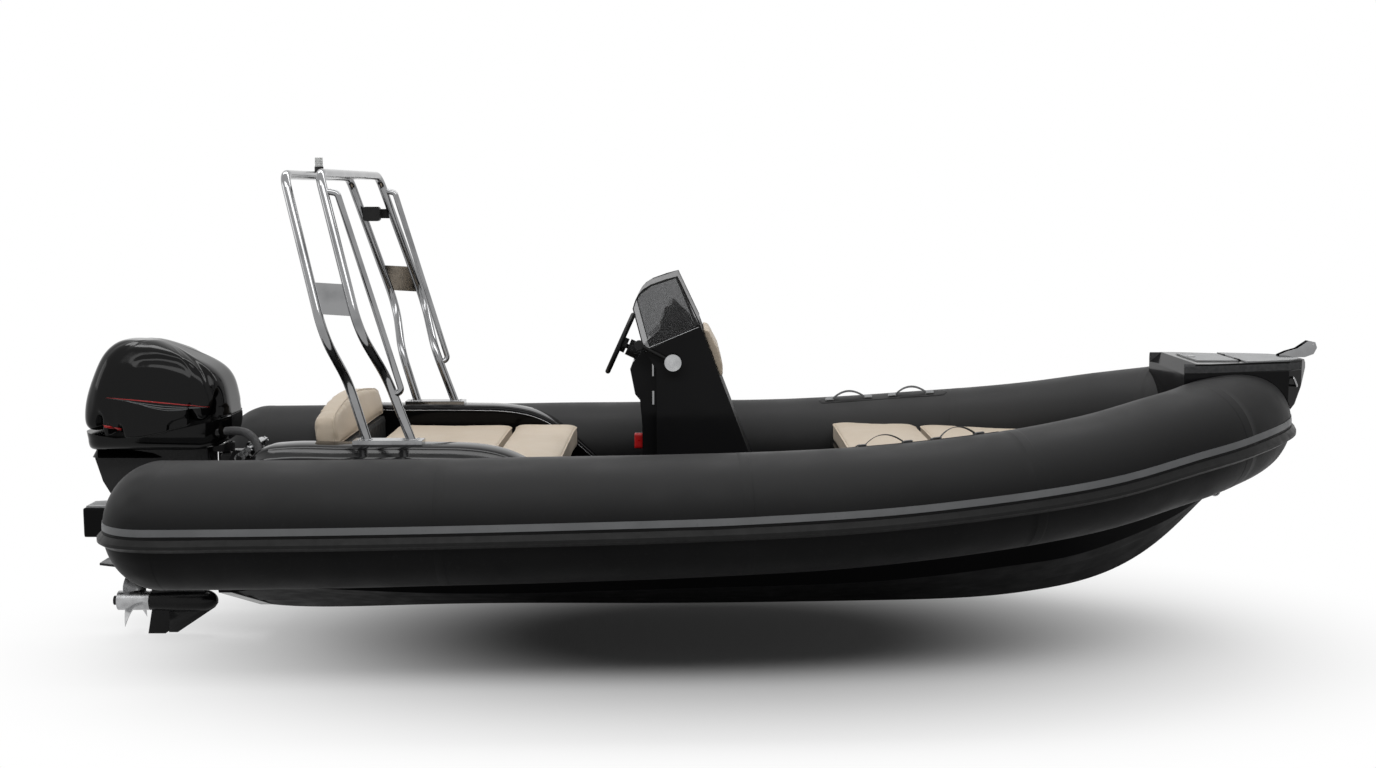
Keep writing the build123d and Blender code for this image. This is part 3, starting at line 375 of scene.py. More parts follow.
def make_floor():
    """Pale to the camera and to gloss with the object's shadow on it; it throws little light back."""
    build = bmesh.new()
    bmesh.ops.create_circle(build, cap_ends=True, segments=96, radius=60)
    floor = stand("studio_floor", mesh_of("studio_floor", build))
    floor.location = (0, 0, FLOOR_Z)
    material = bpy.data.materials.new("studio_floor")
    material.use_nodes = True
    tree = material.node_tree
    link = tree.links.new
    shader = tree.nodes["Principled BSDF"]
    shader.inputs["Roughness"].default_value = 0.9
    shader.inputs["Specular IOR Level"].default_value = 0.0
    bounced = add_node(tree, "ShaderNodeLightPath").outputs["Is Diffuse Ray"]
    tone = add_node(tree, "ShaderNodeMix", data_type="RGBA")
    link(bounced, tone.inputs["Factor"])
    pale, dim = colours(tone.inputs)
    pale.default_value = (0.97, 0.97, 0.97, 1)
    dim.default_value = (0.08, 0.08, 0.08, 1)
    link(colours(tone.outputs)[0], shader.inputs["Base Color"])
    glow = add_node(tree, "ShaderNodeEmission")
    place = add_node(tree, "ShaderNodeTexCoord")
    stretch = add_node(tree, "ShaderNodeMapping", {"Scale": (1.0, 1.7, 1.0)})
    link(place.outputs["Object"], stretch.inputs["Vector"])
    length = add_node(tree, "ShaderNodeVectorMath", operation="LENGTH")
    link(stretch.outputs["Vector"], length.inputs[0])
    reach = {"From Min": 0.8, "From Max": 4.0}
    fade = add_node(tree, "ShaderNodeMapRange", reach, interpolation_type="SMOOTHSTEP")
    link(length.outputs["Value"], fade.inputs["Value"])
    seen = add_node(tree, "ShaderNodeMath", operation="SUBTRACT", use_clamp=True)
    link(fade.outputs["Result"], seen.inputs[0])
    link(bounced, seen.inputs[1])
    surface = tree.nodes["Material Output"].inputs["Surface"]
    mix_shaders(tree, seen.outputs[0], shader.outputs[0], glow.outputs[0], surface)
    floor.data.materials.append(material)


# name, place, aim, width, depth, watts
SOFT_BOXES = (
    ("top", (0.0, 1.7, 5.2), (0, -0.2, 0.3), 9.0, 1.1, 190),
    ("front", (-0.6, -5.2, 6.2), (0, -0.2, 0.2), 9.0, 2.6, 290),
    ("stern", (-7.5, -1.0, 2.6), (-1.0, 0, 0.4), 3.0, 2.0, 40),
)


def make_lamps():
    for name, place, aim, width, depth, watts in SOFT_BOXES:
        data = bpy.data.lights.new(name, "AREA")
        data.shape, data.size, data.size_y, data.energy = "RECTANGLE", width, depth, watts
        lamp = stand(name, data)
        lamp.location = place
        way = Vector(aim) - Vector(place)
        lamp.rotation_euler = way.to_track_quat("-Z", "Y").to_euler()


def make_camera():
    data = bpy.data.cameras.new("camera")
    data.lens, data.sensor_width = CAMERA_LENS, 36.0
    camera = stand("camera", data)
    camera.location = CAMERA_PLACE
    camera.rotation_euler = (radians(90 - CAMERA_DIP), 0, 0)
    bpy.context.scene.camera = camera


# ---- Mesh helpers -------------------------------------------------------------------------
def stand(name, data):
    """A new object in the scene."""
    piece = bpy.data.objects.new(name, data)
    bpy.context.scene.collection.objects.link(piece)
    return piece


def copy_of(node, name):
    """A new object with a CAD node's mesh."""
    return stand(name, NODES[node].data.copy())


def mesh_of(name, shape):
    """A new mesh from a bmesh, which is then let go."""
    mesh = bpy.data.meshes.new(name)
    shape.to_mesh(mesh)
    shape.free()
    return mesh


def mesh_from(name, vertices, faces):
    mesh = bpy.data.meshes.new(name)
    mesh.from_pydata([tuple(v) for v in vertices], [], faces)
    return mesh


def shade_smooth(piece, smooth=True):
    for face in piece.data.polygons:
        face.use_smooth = smooth
    return piece


def new_piece(name, vertices, faces, slot, body="boat", smooth=True):
    """A mesh piece that rides on a body and takes its finish from a slot."""
    mesh = mesh_from(name, vertices, faces)
    mesh.validate()
    return settle(shade_smooth(stand(name, mesh), smooth), slot, body)


def settle(piece, slot, body="boat"):
    paint(piece, slot)
    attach(piece, body)
    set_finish(piece, slot)
    return piece


def bands(rings, closed=True):
    """Faces between equal rings of points laid end to end."""
    faces = []
    count = len(rings[0])
    for row in range(len(rings) - 1):
        for i in range(count if closed else count - 1):
            j = (i + 1) % count
            faces.append((row * count + i, row * count + j, (row + 1) * count + j, (row + 1) * count + i))
    return faces


def capped(rings):
    """Faces of a closed form: the bands and a face over each end."""
    count = len(rings[0])
    last = (len(rings) - 1) * count
    return bands(rings) + [tuple(range(count))[::-1], tuple(range(last, last + count))]


def flatten(rings):
    return [p for ring in rings for p in ring]


def circle(count):
    """So many even turns of a full circle."""
    return [2 * pi * k / count for k in range(count)]


def sweep_points(points, radius, sides, closed=False):
    """Rings round a line of points; radius may be a number or a list."""
    points = [Vector(p) for p in points]
    count = len(points)
    rings = []
    normal = None
    for i, place in enumerate(points):
        before = points[(i - 1) % count] if closed or i else place
        after = points[(i + 1) % count] if closed or i < count - 1 else place
        along = (after - before).normalized()
        if normal is None:
            normal = Vector((0, 0, 1)) - along * along.z
            if normal.length < 1e-4:
                normal = along.orthogonal()
        normal = (normal - along * normal.dot(along)).normalized()
        across = along.cross(normal)
        size = radius[i] if isinstance(radius, (list, tuple)) else radius
        rings.append([place + (across * cos(turn) + normal * sin(turn)) * size for turn in circle(sides)])
    if closed:
        rings.append(rings[0])
    return rings


def tube_piece(name, points, radius, slot, body="boat", sides=8, closed=False):
    rings = sweep_points(points, radius, sides, closed)
    faces = bands(rings) if closed else capped(rings)
    return new_piece(name, flatten(rings), faces, slot, body)


def smooth_line(points, steps):
    """A Hermite curve through points, with so many steps between each two."""
    points = [Vector(p) for p in points]
    chords = [(b - a).length for a, b in zip(points, points[1:])]
    slopes = []
    for i, place in enumerate(points):
        if i == 0:
            slopes.append((points[1] - place) / chords[0])
        elif i == len(points) - 1:
            slopes.append((place - points[i - 1]) / chords[-1])
        else:
            ahead = (points[i + 1] - place) / chords[i]
            behind = (place - points[i - 1]) / chords[i - 1]
            slopes.append((behind * chords[i] + ahead * chords[i - 1]) / (chords[i] + chords[i - 1]))
    line = []
    for i, chord in enumerate(chords):
        for k in range(steps):
            t = k / steps
            line.append(
                points[i] * (2 * t**3 - 3 * t**2 + 1) + slopes[i] * chord * (t**3 - 2 * t**2 + t)
                + points[i + 1] * (3 * t**2 - 2 * t**3) + slopes[i + 1] * chord * (t**3 - t**2)
            )
    line.append(points[-1])
    return line


def mirrored(piece, name):
    """The starboard twin of a port piece."""
    mesh = piece.data.copy()
    mesh.transform(Matrix.Scale(-1, 4, (0, 1, 0)))
    mesh.flip_normals()
    twin = stand(name, mesh)
    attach(twin, "boat")
    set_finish(twin, piece["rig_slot"])
    return twin


# ---- Air tubes ----------------------------------------------------------------------------
TUBE_RADIUS = 0.293
DOME_LENGTH = 0.262
TUBE_PATH = (
    (-2.490, 0.9360, 0.2860, 0.0000), (-2.200, 0.9390, 0.2880, 0.0010), (-1.800, 0.9430, 0.2930, 0.0030),
    (-1.300, 0.9440, 0.3010, 0.0060), (-1.050, 0.9423, 0.3061, 0.0069), (-0.800, 0.9380, 0.3110, 0.0080),
    (-0.550, 0.9324, 0.3159, 0.0098), (-0.425, 0.9305, 0.3187, 0.0109), (-0.300, 0.9289, 0.3219, 0.0119),
    (-0.175, 0.9282, 0.3258, 0.0129), (-0.050, 0.9271, 0.3302, 0.0138), (0.075, 0.9231, 0.3341, 0.0148),
    (0.200, 0.9149, 0.3380, 0.0160), (0.325, 0.9073, 0.3424, 0.0173), (0.450, 0.9006, 0.3480, 0.0187),
    (0.575, 0.8947, 0.3552, 0.0198), (0.700, 0.8878, 0.3640, 0.0210), (0.900, 0.8716, 0.3807, 0.0223),
    (1.100, 0.8449, 0.3990, 0.0230), (1.450, 0.7680, 0.4340, 0.0230), (1.800, 0.6550, 0.4820, 0.0220),
    (2.120, 0.5160, 0.5470, 0.0220), (2.290, 0.4280, 0.5790, 0.0220), (2.425, 0.3280, 0.6060, 0.0210),
    (2.545, 0.2050, 0.6260, 0.0190), (2.617, 0.0920, 0.6370, 0.0180), (2.646, 0.0000, 0.6400, 0.0180),
    (2.665, -0.0600, 0.6400, 0.0180),
)
TUBE_SIDES = 96
TUBE_WAVER = 0.00066       # how far the skin strays from round
TAPE_HALF = 0.022
TAPE_RISE = 0.0005
TAPE_PLACES = (0.0, 1.28, 2.62, 3.90, 4.98)


def tube_line():
    """Dense places on the port tube's axis: point, slimmer radius, distance from the dome joint."""
    centres = smooth_line([p[:3] for p in TUBE_PATH], 16)
    thin = smooth_line([(i, p[3], 0) for i, p in enumerate(TUBE_PATH)], 16)
    rows, far = [], 0.0
    for i, place in enumerate(centres):
        if i:
            far += (place - centres[i - 1]).length
        rows.append((place, TUBE_RADIUS - thin[i].y, far))
    return rows


TUBE_LINE = tube_line()


def tube_frame(far):
    """Centre, radius, direction, outward and up at a distance along the port tube."""
    for (low, r_low, a), (high, r_high, b) in zip(TUBE_LINE, TUBE_LINE[1:]):
        if a <= far <= b or high is TUBE_LINE[-1][0]:
            t = (far - a) / (b - a)
            along = (high - low).normalized()
            outward = Vector((0, 0, 1)).cross(along).normalized()
            return low.lerp(high, t), r_low + (r_high - r_low) * t, along, outward, along.cross(outward)


def tube_distance(x):
    """How far along the port tube's axis it passes that x."""
    for (low, _, a), (high, _, b) in zip(TUBE_LINE, TUBE_LINE[1:]):
        if low.x <= x <= high.x:
            return a + (b - a) * (x - low.x) / (high.x - low.x)
    return 0.0


def on_tube(far, angle, rise=0.0):
    """A point on the port tube's skin: angle from outward (0) over the top (90) to inward (180)."""
    centre, radius, _, outward, up = tube_frame(far)
    turn = radians(angle)
    return centre + (outward * cos(turn) + up * sin(turn)) * (radius + rise)


def tape(far):
    """Height of the seam tapes above the skin at a distance along the tube."""
    gap = min(abs(far - place) for place in TAPE_PLACES)
    return TAPE_RISE if gap <= TAPE_HALF else 0.0


def make_tubes():
    """The inflated tubes, with their seam tapes, slight quilting and stern cones."""
    total = TUBE_LINE[-1][2]
    stops = set(np.arange(0.03, total, 0.035).round(5)) | {0.0, total}
    edges = [side * (TAPE_HALF + more) for side in (-1, 1) for more in (-1e-3, 0, 8e-4)]
    for place in TAPE_PLACES:
        stops |= {round(place + edge, 5) for edge in edges}
    rings = []
    x, y, z, _ = TUBE_PATH[0]
    for step in range(28, 0, -1):
        turn = radians(89.4 * step / 28)
        ring = []
        for around in circle(TUBE_SIDES):
            pucker = 0.0012 * cos(18 * around) * max(0.0, 1 - abs(step - 4) / 4)
            wide = TUBE_RADIUS * cos(turn) + pucker
            ring.append(Vector((x - DOME_LENGTH * sin(turn), y + wide * cos(around), z + wide * sin(around))))
        rings.append(ring)
    for far in sorted(s for s in stops if 0 <= s <= total):
        centre, radius, _, outward, up = tube_frame(far)
        ring = []
        for around in circle(TUBE_SIDES):
            waver = TUBE_WAVER * sin(around * 3 + far * 2.1) * sin(far * 7.3 + around)
            size = radius + tape(far) + waver
            ring.append(centre + outward * (size * cos(around)) + up * (size * sin(around)))
        rings.append(ring)
    faces = bands(rings) + [tuple(range(TUBE_SIDES))[::-1]]
    port = new_piece("air_tube_port", flatten(rings), faces, "tube_fabric")
    shape = bmesh.new()
    shape.from_mesh(port.data)
    every = shape.verts[:] + shape.edges[:] + shape.faces[:]
    cut = bmesh.ops.bisect_plane(
        shape, geom=every, plane_co=(0, 0.0003, 0), plane_no=(0, -1, 0), clear_outer=True
    )
    bmesh.ops.holes_fill(shape, edges=[e for e in cut["geom_cut"] if isinstance(e, bmesh.types.BMEdge)])
    shape.to_mesh(port.data)
    shape.free()
    twin = mirrored(port, "air_tube_starboard")
    for piece, node in ((port, "tube_port"), (twin, "tube_starboard")):
        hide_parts(node)


# x of each handle's middle and its length
HANDLES = ((0.805, 0.190), (1.155, 0.180))
HANDLE_ANGLE = 104.0


def tube_patch(name, far_low, far_high, half_turn, rise, slot):
    """A thin glued patch on the port tube under the handles, with rounded ends."""
    rows, across = 40, 10
    outer, under = [], []
    for i in range(rows + 1):
        far = far_low + (far_high - far_low) * i / rows
        end = min(far - far_low, far_high - far)
        reach = half_turn * sqrt(max(0.02, min(1.0, 1 - max(0.0, 1 - end / 0.03) ** 2)))
        angles = [HANDLE_ANGLE + reach * (2 * k / across - 1) for k in range(across + 1)]
        outer.append([on_tube(far, angle, rise) for angle in angles])
        under.append([on_tube(far, angle, -0.002) for angle in angles])
    width = across + 1
    half = len(outer) * width
    faces = bands(outer, closed=False)
    faces += [tuple(half + v for v in face[::-1]) for face in faces]
    edges = [(i * width + edge, (i + 1) * width + edge) for i in range(rows) for edge in (0, across)]
    edges += [(i * width + k, i * width + k + 1) for i in (0, rows) for k in range(across)]
    faces += [(a, b, b + half, a + half) for a, b in edges]
    piece = new_piece(name, flatten(outer + under), faces, slot)
    tidy_normals(piece)
    return piece


def tidy_normals(piece):
    shape = bmesh.new()
    shape.from_mesh(piece.data)
    bmesh.ops.remove_doubles(shape, verts=shape.verts[:], dist=1e-6)
    bmesh.ops.recalc_face_normals(shape, faces=shape.faces[:])
    shape.to_mesh(piece.data)
    shape.free()


def join(name, pieces, slot):
    """One piece made of several meshes."""
    shape = bmesh.new()
    for piece in pieces:
        shape.from_mesh(piece.data)
        bpy.data.objects.remove(piece)
    return settle(stand(name, mesh_of(name, shape)), slot)


# shares of half the width and of 0.4 of the thickness
STRAP_SECTION = (
    (-1, -1), (-0.94, -1.25), (0.94, -1.25), (1, -1), (1, 1), (0.94, 1.25), (-0.94, 1.25), (-1, 1),
)


def strap(points, wide, thick, side):
    """A flat strap's rings: points along it, its width direction given."""
    rings = []
    points = [Vector(p) for p in points]
    side = Vector(side).normalized()
    for i, place in enumerate(points):
        along = (points[min(i + 1, len(points) - 1)] - points[max(i - 1, 0)]).normalized()
        up = along.cross(side).normalized()
        ring = []
        for a, b in STRAP_SECTION:
            ring.append(place + side * (a * wide / 2) + up * (b * thick / 2.5))
        rings.append(ring)
    return rings


def make_handles():
    """Webbing grab loops with moulded ends, on a long glued patch."""
    first, last = tube_distance(HANDLES[0][0]) - 0.17, tube_distance(HANDLES[-1][0]) + 0.20
    patch = tube_patch("handle_patch_port", first, last, 7.5, 0.0016, "tube_fabric")
    rim = tube_patch("handle_patch_rim_port", first - 0.006, last + 0.006, 8.6, 0.0008, "strake_rubber")
    loops, ends = [], []
    for x, long in HANDLES:
        middle = tube_distance(x)
        base_a, base_b = (on_tube(middle + side * long / 2, HANDLE_ANGLE, 0.002) for side in (-1, 1))
        centre, _, along, _, _ = tube_frame(middle)
        crown = on_tube(middle, HANDLE_ANGLE, 0.047)
        lift = (crown - centre).normalized()
        side = along.cross(lift)
        foot_a = on_tube(middle - long / 2 - 0.026, HANDLE_ANGLE, 0.0035)
        foot_b = on_tube(middle + long / 2 + 0.026, HANDLE_ANGLE, 0.0035)
        arc = []
        for k in range(-12, 13):
            t = k / 12
            arc.append(on_tube(middle + t * long / 2, HANDLE_ANGLE, 0.004 + 0.043 * (1 - t * t)))
        rings = strap([foot_a] + arc + [foot_b], 0.026, 0.003, side)
        loops.append(new_piece("loop", flatten(rings), capped(rings), "webbing_grey"))
        for foot, base in ((foot_a, base_a), (foot_b, base_b)):
            way = (foot - base).normalized()
            route = [base - way * 0.008 + lift * 0.003, base + lift * 0.006]
            route += [foot + way * 0.004 + lift * 0.004, foot + way * 0.012]
            plate = strap(route, 0.036, 0.006, side)
            ends.append(new_piece("end", flatten(plate), capped(plate), "stripe_grey"))
    loop = join("handle_loops_port", loops, "webbing_grey")
    end = join("handle_ends_port", ends, "stripe_grey")
    tidy_normals(loop)
    tidy_normals(end)
    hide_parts("tube_handles_port")
    for piece in (patch, rim, loop, end):
        twin = mirrored(piece, piece.name.replace("_port", "_starboard"))
        if piece is loop:
            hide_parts("tube_handles_starboard")


# ---- Cushions -----------------------------------------------------------------------------
def shrunk_copy(node, inset):
    """A copy of a CAD node's mesh, drawn in by inset on its sides and top."""
    piece = copy_of(node, node + "_cushion")
    low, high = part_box(node)
    middle = (low + high) / 2
    for vertex in piece.data.vertices:
        for axis in (0, 1):
            share = 1 - 2 * inset / (high[axis] - low[axis])
            vertex.co[axis] = middle[axis] + (vertex.co[axis] - middle[axis]) * share
        vertex.co.z = low.z + (vertex.co.z - low.z) * (1 - inset / (high.z - low.z))
    return piece


def apply_modifiers(piece):
    """Leaves the evaluated mesh on the piece, and no modifier."""
    graph = bpy.context.evaluated_depsgraph_get()
    mesh = bpy.data.meshes.new_from_object(piece.evaluated_get(graph))
    piece.modifiers.clear()
    piece.data = mesh
    return piece


def remesh(piece, voxel):
    """Adds a voxel remesh."""
    modifier = piece.modifiers.new("remesh", "REMESH")
    modifier.mode = "VOXEL"
    modifier.voxel_size = voxel


def soften(piece, rounds):
    """Adds so many rounds of smoothing."""
    modifier = piece.modifiers.new("smooth", "SMOOTH")
    modifier.factor = 0.5
    modifier.iterations = rounds


def set_points(piece, points):
    piece.data.vertices.foreach_set("co", points.astype(np.float32).ravel())
    piece.data.update()
    return piece


def swell(piece, cap, low, high, pressure=4.0, frames=20):
    """Blows a closed shape up with Cloth; no point goes further than cap or out of the box."""
    rest = np.array([v.co for v in piece.data.vertices], float)
    cloth = piece.modifiers.new("cloth", "CLOTH")
    cloth.settings.use_pressure = True
    cloth.settings.uniform_pressure_force = pressure
    cloth.settings.effector_weights.gravity = 0.0
    cloth.settings.tension_stiffness = 18
    cloth.settings.compression_stiffness = 18
    cloth.settings.bending_stiffness = 0.6
    cloth.point_cache.frame_end = frames
    for number in range(1, frames + 1):
        bpy.context.scene.frame_set(number)
    apply_modifiers(piece)
    bpy.context.scene.frame_set(1)
    moved = np.array([v.co for v in piece.data.vertices], float)
    travel = moved - rest
    length = np.maximum(np.linalg.norm(travel, axis=1), 1e-9)
    moved = rest + travel * (np.minimum(length, cap) / length)[:, None]
    return set_points(piece, np.clip(moved, np.array(low), np.array(high)))


def piping(name, piece, loop, radius=0.0045):
    """A welt laid on a cushion's skin along a closed loop of points."""
    tree = BVHTree.FromObject(piece, bpy.context.evaluated_depsgraph_get())
    line = []
    for place in loop:
        hit, normal, _, _ = tree.find_nearest(place)
        line.append(hit + normal * radius * 0.35)
    for _ in range(3):
        line = [(line[i - 1] + line[i] * 2 + line[(i + 1) % len(line)]) / 4 for i in range(len(line))]
    return tube_piece(name, line, radius, piece["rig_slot"], closed=True)


def cushion(node, form=None, inset=0.004, voxel=0.014, cap=0.012, rise=0.010):
    """A sewn cushion in the space of a CAD node, or of a form made for it."""
    low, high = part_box(node)
    piece = form or shrunk_copy(node, inset)
    if form:
        low = Vector([min(v.co[i] for v in form.data.vertices) for i in range(3)])
        high = Vector([max(v.co[i] for v in form.data.vertices) for i in range(3)])
    remesh(piece, voxel)
    apply_modifiers(piece)
    swell(piece, cap, low - Vector((2e-3, 2e-3, 0)), high + Vector((2e-3, 2e-3, rise)))
    soften(piece, 3)
    rounder = piece.modifiers.new("subdivide", "SUBSURF")
    rounder.levels = rounder.render_levels = 1
    apply_modifiers(piece)
    settle(shade_smooth(piece), "upholstery_sand")
    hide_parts(node)
    return piece


def top_loop(node, z, inset, count):
    """The outline of a CAD node at its top, drawn in a little, as evenly spaced points."""
    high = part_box(node)[1].z
    top = [v.co for v in NODES[node].data.vertices if v.co.z > high - 1e-4]
    points = np.array(sorted({(round(place.x, 4), round(place.y, 4)) for place in top}))
    centre = (points.max(0) + points.min(0)) / 2
    order = points[np.argsort(np.arctan2(points[:, 1] - centre[1], points[:, 0] - centre[0]))]
    order = np.vstack([order, order[:1]])
    lengths = np.concatenate([[0], np.cumsum(np.linalg.norm(np.diff(order, axis=0), axis=1))])
    even = np.linspace(0, lengths[-1], count, endpoint=False)
    out = []
    for x, y in zip(np.interp(even, lengths, order[:, 0]), np.interp(even, lengths, order[:, 1])):
        out.append(Vector((x, y, z)) - Vector((x - centre[0], y - centre[1], 0)).normalized() * inset)
    return out


# the backrest from the front: half-width and height, then how far its top leans aft
BACKREST_OUTLINE = (
    (0.585, 0.577), (0.586, 0.640), (0.580, 0.682), (0.555, 0.713), (0.500, 0.735), (0.400, 0.755),
    (0.260, 0.773), (0.130, 0.783), (0.000, 0.787),
)
BACKREST_LEAN = 0.035
BACKREST_FACES = (-1.865, -1.777)
BACKREST_LOW = 0.577
BACKREST_TALL = 0.21


def backrest_line(x, narrow=1.0, drop=0.0):
    """The backrest's outline at a face, from one side over the top to the other."""
    outline = BACKREST_OUTLINE + tuple((-y, z) for y, z in BACKREST_OUTLINE[-2::-1])
    lean = BACKREST_LEAN / BACKREST_TALL
    return [Vector((x - lean * (z - BACKREST_LOW), y * narrow, z - drop)) for y, z in outline]


def backrest_form():
    rings = [backrest_line(x) for x in BACKREST_FACES]
    piece = stand("backrest_cushion", mesh_from("backrest_cushion", flatten(rings), capped(rings)))
    tidy_normals(piece)
    return piece


def make_cushions():
    """The cushions, the backrest and the console's pad, with welts on all but the pad."""
    for node in ("stern_cushion_aft", "stern_cushion_fore", "bow_cushion_aft", "bow_cushion_fore"):
        piece = cushion(node)
        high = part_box(node)[1].z
        piping(node + "_welt", piece, top_loop(node, high - 0.010, 0.003, 220))
    back = cushion("backrest", form=backrest_form(), voxel=0.011, cap=0.012, rise=0.004)
    loop = smooth_line(backrest_line(BACKREST_FACES[1], 0.985, 0.006), 12)
    loop += [loop[-1].lerp(loop[0], k / 60) for k in range(1, 60)]
    piping("backrest_welt", back, loop, 0.0038)
    cushion("console_pad", inset=0.002, voxel=0.007, cap=0.003, rise=0.0)


# ---- Rigging hose -------------------------------------------------------------------------
HOSE_ROUTE = (
    (-2.418, -0.176, 0.602), (-2.352, -0.206, 0.612), (-2.279, -0.245, 0.598), (-2.222, -0.300, 0.546),
    (-2.202, -0.365, 0.468), (-2.194, -0.438, 0.393), (-2.168, -0.515, 0.344), (-2.140, -0.600, 0.318),
)
HOSE_RADIUS = 0.021
RIB_PITCH = 0.0088
HOSE_SPLIT = 0.400       # share of the hose that bends between the swivel and the engine


def hose_line():
    """Points read from the hose's own smooth curve, evenly spaced."""
    data = bpy.data.curves.new("hose_route", "CURVE")
    data.dimensions = "3D"
    data.resolution_u = 24
    spline = data.splines.new("NURBS")
    spline.points.add(len(HOSE_ROUTE) - 1)
    for point, place in zip(spline.points, HOSE_ROUTE):
        point.co = (*place, 1)
    spline.order_u = 3
    spline.use_endpoint_u = True
    curve = stand("hose_route", data)
    mesh = bpy.data.meshes.new_from_object(curve)
    raw = np.array([v.co for v in mesh.vertices], float)
    bpy.data.objects.remove(curve)
    far = np.concatenate([[0], np.cumsum(np.linalg.norm(np.diff(raw, axis=0), axis=1))])
    even = np.linspace(0, far[-1], 560)
    line = [Vector([np.interp(t, far, raw[:, axis]) for axis in range(3)]) for t in even]
    return line, even


def make_hose():
    """The ribbed conduit from the engine to the side deck, in two lengths."""
    line, far = hose_line()
    radii = [HOSE_RADIUS - 0.0011 + 0.0011 * cos(2 * pi * t / RIB_PITCH) for t in far]
    middle = int(len(line) * HOSE_SPLIT)
    parts = (
        ("hose_deck_end", list(range(middle, len(line)))[::-1], "boat", "engine_tilt"),
        ("hose_engine_end", list(range(0, middle + 1))[::-1], "engine_tilt", "engine"),
    )
    for name, order, near, away in parts:
        route = [line[i] for i in order]
        rings = sweep_points(route, [radii[i] for i in order], 24)
        piece = shade_smooth(stand(name, mesh_from(name, flatten(rings), capped(rings))))
        paint(piece, "hose_rubber")
        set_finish(piece, "hose_rubber")
        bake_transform(piece)
        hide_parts("rigging_hose")


# ---- Engine cowl --------------------------------------------------------------------------
COWL_CENTRE = Vector((-2.765, 0.0, 0.78))
SEAM = ((-3.200, 0.600), (-2.980, 0.566), (-2.830, 0.574), (-2.380, 0.670))
SCOOP_TOP = (
    (-2.882, 0.942), (-2.862, 0.966), (-2.831, 0.983), (-2.740, 0.989), (-2.644, 0.988),
    (-2.585, 0.975), (-2.530, 0.952), (-2.505, 0.915), (-2.486, 0.893),
)
SCOOP_LOW = (
    (-2.486, 0.893), (-2.528, 0.906), (-2.572, 0.916), (-2.640, 0.929), (-2.705, 0.938),
    (-2.800, 0.942), (-2.882, 0.942),
)
BROW = (
    (-2.770, 1.052), (-2.624, 1.004), (-2.485, 0.942), (-2.429, 0.883), (-2.517, 0.943), (-2.644, 0.997),
)
SHOULDER = ((-2.960, 1.040), (-2.800, 1.040), (-2.664, 1.000), (-2.920, 1.006))
CHEEK = (
    (-2.712, 0.560), (-2.700, 0.636), (-2.672, 0.658), (-2.600, 0.682), (-2.452, 0.726),
    (-2.400, 0.735), (-2.360, 0.700), (-2.360, 0.600),
)
# turn from aft over the top to fore, share of the CAD form's reach that is kept
COWL_TRIM = (
    (-180, 0.925), (-120, 0.940), (-60, 0.940), (-4, 0.937), (6, 0.945), (16, 0.955), (26, 0.955),
    (36, 0.960), (46, 0.975), (56, 0.985), (66, 0.972), (76, 0.966), (86, 0.965), (96, 0.964),
    (106, 0.940), (116, 0.902), (126, 0.886), (136, 0.892), (146, 0.905), (156, 0.912), (166, 0.918),
    (176, 0.925), (180, 0.925),
)
COWL_TRIM_Z = 0.66          # height of the middle that the shares are taken from
RED_LINE = ((-2.997, 0.774), (-2.870, 0.763), (-2.747, 0.751), (-2.620, 0.739), (-2.489, 0.726))
RED_DASH = ((-3.020, 0.631), (-2.975, 0.621), (-2.934, 0.611))
# how far below the red line, thickness, first point of the line that it starts from
SILVER_LINES = ((0.013, 0.0030, 3), (0.024, 0.0044, 7), (0.033, 0.0020, 12))
# height where the lower cowl begins to draw in, and over what height it does
PAN_LOW = 0.455
PAN_LIP = 0.10


def segment_distance(points, line):
    """Distance of each point from a polyline, in the plane."""
    best = np.full(len(points), 1e9)
    for a, b in zip(line, line[1:]):
        a, b = np.array(a, float), np.array(b, float)
        way = b - a
        t = np.clip(((points - a) @ way) / (way @ way), 0, 1)
        best = np.minimum(best, np.linalg.norm(points - (a + t[:, None] * way), axis=1))
    return best


def is_inside(points, outline):
    """Whether each point is inside a closed outline."""
    found = np.zeros(len(points), bool)
    for (x1, z1), (x2, z2) in zip(outline, outline[1:] + outline[:1]):
        crosses = (z1 > points[:, 1]) != (z2 > points[:, 1])
        with np.errstate(divide="ignore", invalid="ignore"):
            at = (x2 - x1) * (points[:, 1] - z1) / (z2 - z1 + 1e-12) + x1
        found ^= crosses & (points[:, 0] < at)
    return found


def ease(value, low, high):
    t = np.clip((value - low) / (high - low), 0, 1)
    return t * t * (3 - 2 * t)


def sculpt(points):
    """How far each point of the cowl's side stands out (+) or is sunk (-)."""
    flat = points[:, [0, 2]]
    rise = np.zeros(len(points))
    scoop = is_inside(flat, SCOOP_TOP + SCOOP_LOW)
    to_top, to_low = segment_distance(flat, SCOOP_TOP), segment_distance(flat, SCOOP_LOW)
    share = to_low / (to_low + to_top + 1e-9)
    rise -= scoop * 0.020 * share**1.2 * ease(to_top, 0.0, 0.008)
    lip = np.minimum(to_top, to_low)
    rise += (~scoop) * 0.0035 * (1 - ease(lip, 0.0, 0.009))
    for outline, height, edge in ((BROW, 0.007, 0.008), (SHOULDER, 0.005, 0.010), (CHEEK, -0.008, 0.010)):
        within = is_inside(flat, outline)
        rise += within * height * ease(segment_distance(flat, outline + outline[:1]), 0.0, edge)
    return rise * ease(np.abs(points[:, 1]), 0.085, 0.115)


def tree_of(mesh):
    faces = [tuple(face.vertices) for face in mesh.polygons]
    return BVHTree.FromPolygons([v.co for v in mesh.vertices], faces)


